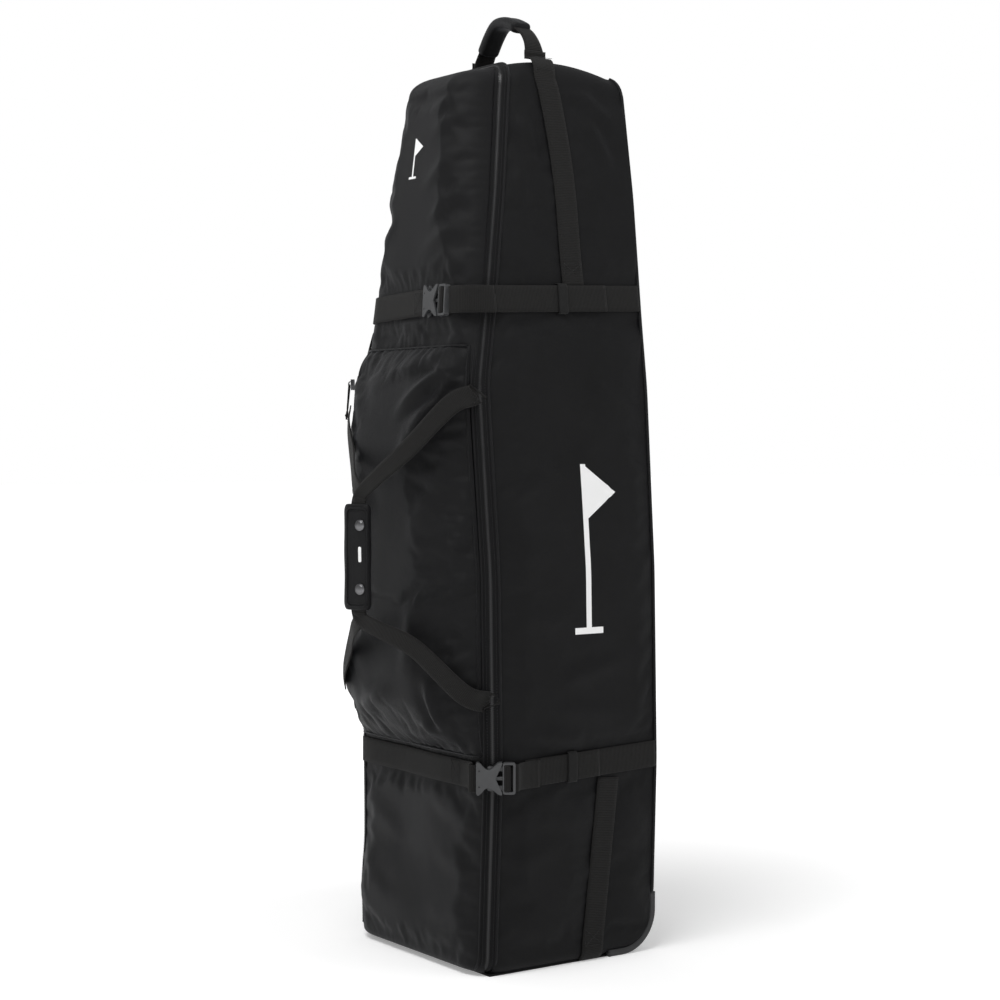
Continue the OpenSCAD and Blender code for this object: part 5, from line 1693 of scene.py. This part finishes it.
def make_kick_plate():
    """Plate between the wheels, with upright ribs and four rivets."""
    low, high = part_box("kick_plate")
    place = axes((0, high.y, (low.z + high.z) / 2), (1, 0, 0), (0, 0, 1), (0, 1, 0))
    wide, tall = (high.x - low.x) * 500, (high.z - low.z) * 500
    outline = rounded([(-wide, -tall), (wide, -tall), (wide, tall), (-wide, tall)], 3)
    parts = [plate("plate", outline, [], -4, -0.4, place, 0.0008)]
    for x in np.linspace(-0.8, 0.8, 9) * wide:
        rib = rounded([(x - 2.2, -tall + 12), (x + 2.2, -tall + 12), (x + 2.2, tall - 14), (x - 2.2, tall - 14)], 2.2)
        parts.append(plate("rib", rib, [], -1.2, 0.6, place, 0.0007))
    for x in (-0.9, -0.3, 0.3, 0.9):
        rings = [(0.0042, 0), (0.0042, 0.0008), (0.0034, 0.0016), (0.0016, 0.0022), (0.0003, 0.0023)]
        parts.append(lathe("rivet", rings, place(x * wide, tall - 6, -0.5), (0, 1, 0), 24))
    finish(join("rear_kick_plate", parts), "case", "moulded_plastic", guard_plastic, "kick_plate")

# ---------------------------------------------------------------- inside


def soft_slab(name, grid, thick):
    """Closed pad from a grid of points, thick at its middle and thin at its sewn edge."""
    rows, cols = grid.shape[:2]
    normals = grid_normals(grid)
    v, u = np.meshgrid(np.linspace(-1, 1, rows), np.linspace(-1, 1, cols), indexing="ij")
    swell = ((1 - np.abs(u) ** 8) * (1 - np.abs(v) ** 8)) ** 0.5
    front = grid + normals * (0.001 + (thick - 0.001) * swell)[..., None]
    weave = np.stack([u * cols, v * rows, 0 * u], axis=-1) * 0.004
    count = rows * cols
    faces = [tuple(count + k for k in f) for f in grid_faces(rows, cols)]
    faces += [tuple(reversed(f)) for f in grid_faces(rows, cols)]
    rim = [(0, c) for c in range(cols)] + [(r, cols - 1) for r in range(1, rows)]
    rim += [(rows - 1, c) for c in range(cols - 2, -1, -1)] + [(r, 0) for r in range(rows - 2, 0, -1)]
    rim = [r * cols + c for r, c in rim]
    for i, a in enumerate(rim):
        b = rim[(i + 1) % len(rim)]
        faces.append((a, b, count + b, count + a))
    points = np.concatenate([grid.reshape(-1, 3), front.reshape(-1, 3)])
    piece = outward(new_object(name, points, faces, np.concatenate([weave.reshape(-1, 3)] * 2)))
    subdivide(piece)
    return apply_modifiers(piece)


def make_inside():
    """Foam pads round the club heads and the straps that hold the golf bag."""
    z, y = np.meshgrid(np.linspace(0.962, 1.198, 30), np.linspace(-0.038, 0.098, 18), indexing="ij")
    parts = []
    for sign in (1, -1):
        grid = np.stack([sign * (half_w(z) - 0.0045), y, z], axis=-1)
        parts.append(soft_slab("pad", grid if sign < 0 else grid[:, ::-1], 0.013))
    y, x = np.meshgrid(np.linspace(-0.028, 0.108, 18), np.linspace(-0.056, 0.056, 16), indexing="ij")
    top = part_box("top_padding")[1].z
    grid = np.stack([x[:, ::-1], y, 0 * x + top], axis=-1)
    parts.append(soft_slab("pad", grid, 0.013))
    pads = join("head_pads", parts)
    finish(pads, "case", "foam", foam_cloth, "top_padding")
    strap_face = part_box("inner_cinch_straps")[1].y
    bands, locks = [], []
    for z in (0.42, 0.76):
        for side in (-1, 1):
            xs = np.linspace(0.024, 0.139, 12)
            path = np.array([(side * x, strap_face - 0.0006 - 0.001 * math.sin((x - 0.024) * 27), z) for x in xs])
            bands.append(strap("inner", path, np.tile((0, -1, 0), (12, 1)), 0.032, 0.0016))
            bands[-1].data.materials.append(strap_cloth)
            seam = (side * 0.128, strap_face - 0.0032, z)
            bands.append(sewn_box("patch", seam, (1, 0, 0), (0, -1, 0), 0.026, 0.016))
        place = axes((0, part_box("inner_cinch_buckles")[1].y, z), (1, 0, 0), (0, 0, 1), (0, -1, 0))
        body = rounded([(-23.5, -19), (23.5, -19), (23.5, 19), (-23.5, 19)], 5)
        slots = [rounded([(x, -15), (x + 5, -15), (x + 5, 15), (x, 15)], 1) for x in (-17, 12)]
        locks.append(plate("lock", body, slots, 0.2, 4.6, place, 0.001))
        locks.append(plate("lock", rounded([(-9, -14), (9, -14), (9, 14), (-9, 14)], 4), [], 4.2, 8.6, place, 0.0015))
    finish(join("inner_straps", bands), "case", "webbing", [], "inner_cinch_straps")
    finish(join("inner_buckles", locks), "case", "buckle_plastic", buckle_plastic, "inner_cinch_buckles")


def make_hinge():
    """Fabric strip sewn down the lower left seam, on which the lid turns."""
    zs = np.linspace(0.018, HINGE_TOP - 0.002, 150)
    grid, weave = [], []
    for z in zs:
        row = []
        for angle in (0.80, 0.68, 0.57):
            x, y = lid_surface(-1, angle, z, 0)
            row.append((x - 0.0022 * math.cos(angle), y - 0.0022 * math.sin(angle), z))
        seam = float(seam_y(z))
        w = float(half_w(z))
        row.append((-(w - TUCK_IN + 0.0030), seam, z))
        for d in (0.004, 0.009, 0.0135):
            row.append((-(w - float(tuck(d)) + 0.0018), seam + d, z))
        grid.append(row[::-1])
        weave.append([(k * 0.006, z, 0) for k in range(7)])
    piece = grid_object("hinge_strip", np.array(grid), np.array(weave))
    thicken(piece, 0.0012, lined=False)
    subdivide(piece)
    apply_modifiers(piece)
    piece.data.materials.append(piping_cloth)
    path = np.array(grid)
    rows = []
    for column, out in ((1, (-1, 0, 0)), (5, (-0.75, -0.7, 0))):
        rows.append(stitches("row", path[:, column] + np.array(out) * 0.0004, np.tile(out, (len(zs), 1))))
    piece = join("hinge_strip", [piece] + rows)
    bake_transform(piece)


def make_zip_stitching():
    path, normals = seam_path()
    across = np.cross(unit(np.gradient(path, axis=0)), normals)
    for side, body in ((-1, "lid"), (1, "case")):
        row = stitches(body + "_zip_stitching", path + across * side * 0.0072 + normals * 0.0009, normals)
        finish(row, body, "zip_tape", [])

# ---------------------------------------------------------------- run

make_side("right_side_cloth", 1, "right_side_panel", print_cloth, 41)
make_side("left_side_cloth", -1, "left_side_panel", side_cloth, 51)
make_back()
make_top()
make_piping()
make_lid()
make_pocket()
make_zip()
make_zip_stitching()
make_hinge()
make_straps()
make_side_webbing()
make_front_straps()
make_strap_overs()
make_buckle("upper")
make_buckle("lower")
make_grip_wrap()
make_grip_loops()
make_handle()
make_main_slider()
make_pocket_zip()
make_pocket_slider()
make_guards()
make_housings()
make_kick_plate()
make_inside()

CAD_LOOKS = {
    "stiff_board": board_plastic, "foam": foam_cloth, "moulded_plastic": guard_plastic, "screws": dark_metal,
    "axle_steel": ground_metal, "bearing_steel": ground_metal, "tyre": tyre_rubber, "hub_plastic": hub_plastic,
    "webbing": strap_cloth, "elastic": elastic_cloth, "grip_fabric": pad_cloth, "snap_metal": dark_metal,
    "buckle_plastic": buckle_plastic, "slider_metal": dark_metal, "puller_cord": strap_cloth,
    "case_fabric": side_cloth, "lid_fabric": lid_cloth, "zip_tape": tape_cloth, "zip_coil": coil_plastic,
    "piping": piping_cloth,
}
for entry in frame["record"]["subparts"]:
    mesh = nodes[entry["node"]].data
    mesh.materials.clear()
    mesh.materials.append(CAD_LOOKS[entry["material_slot"]])
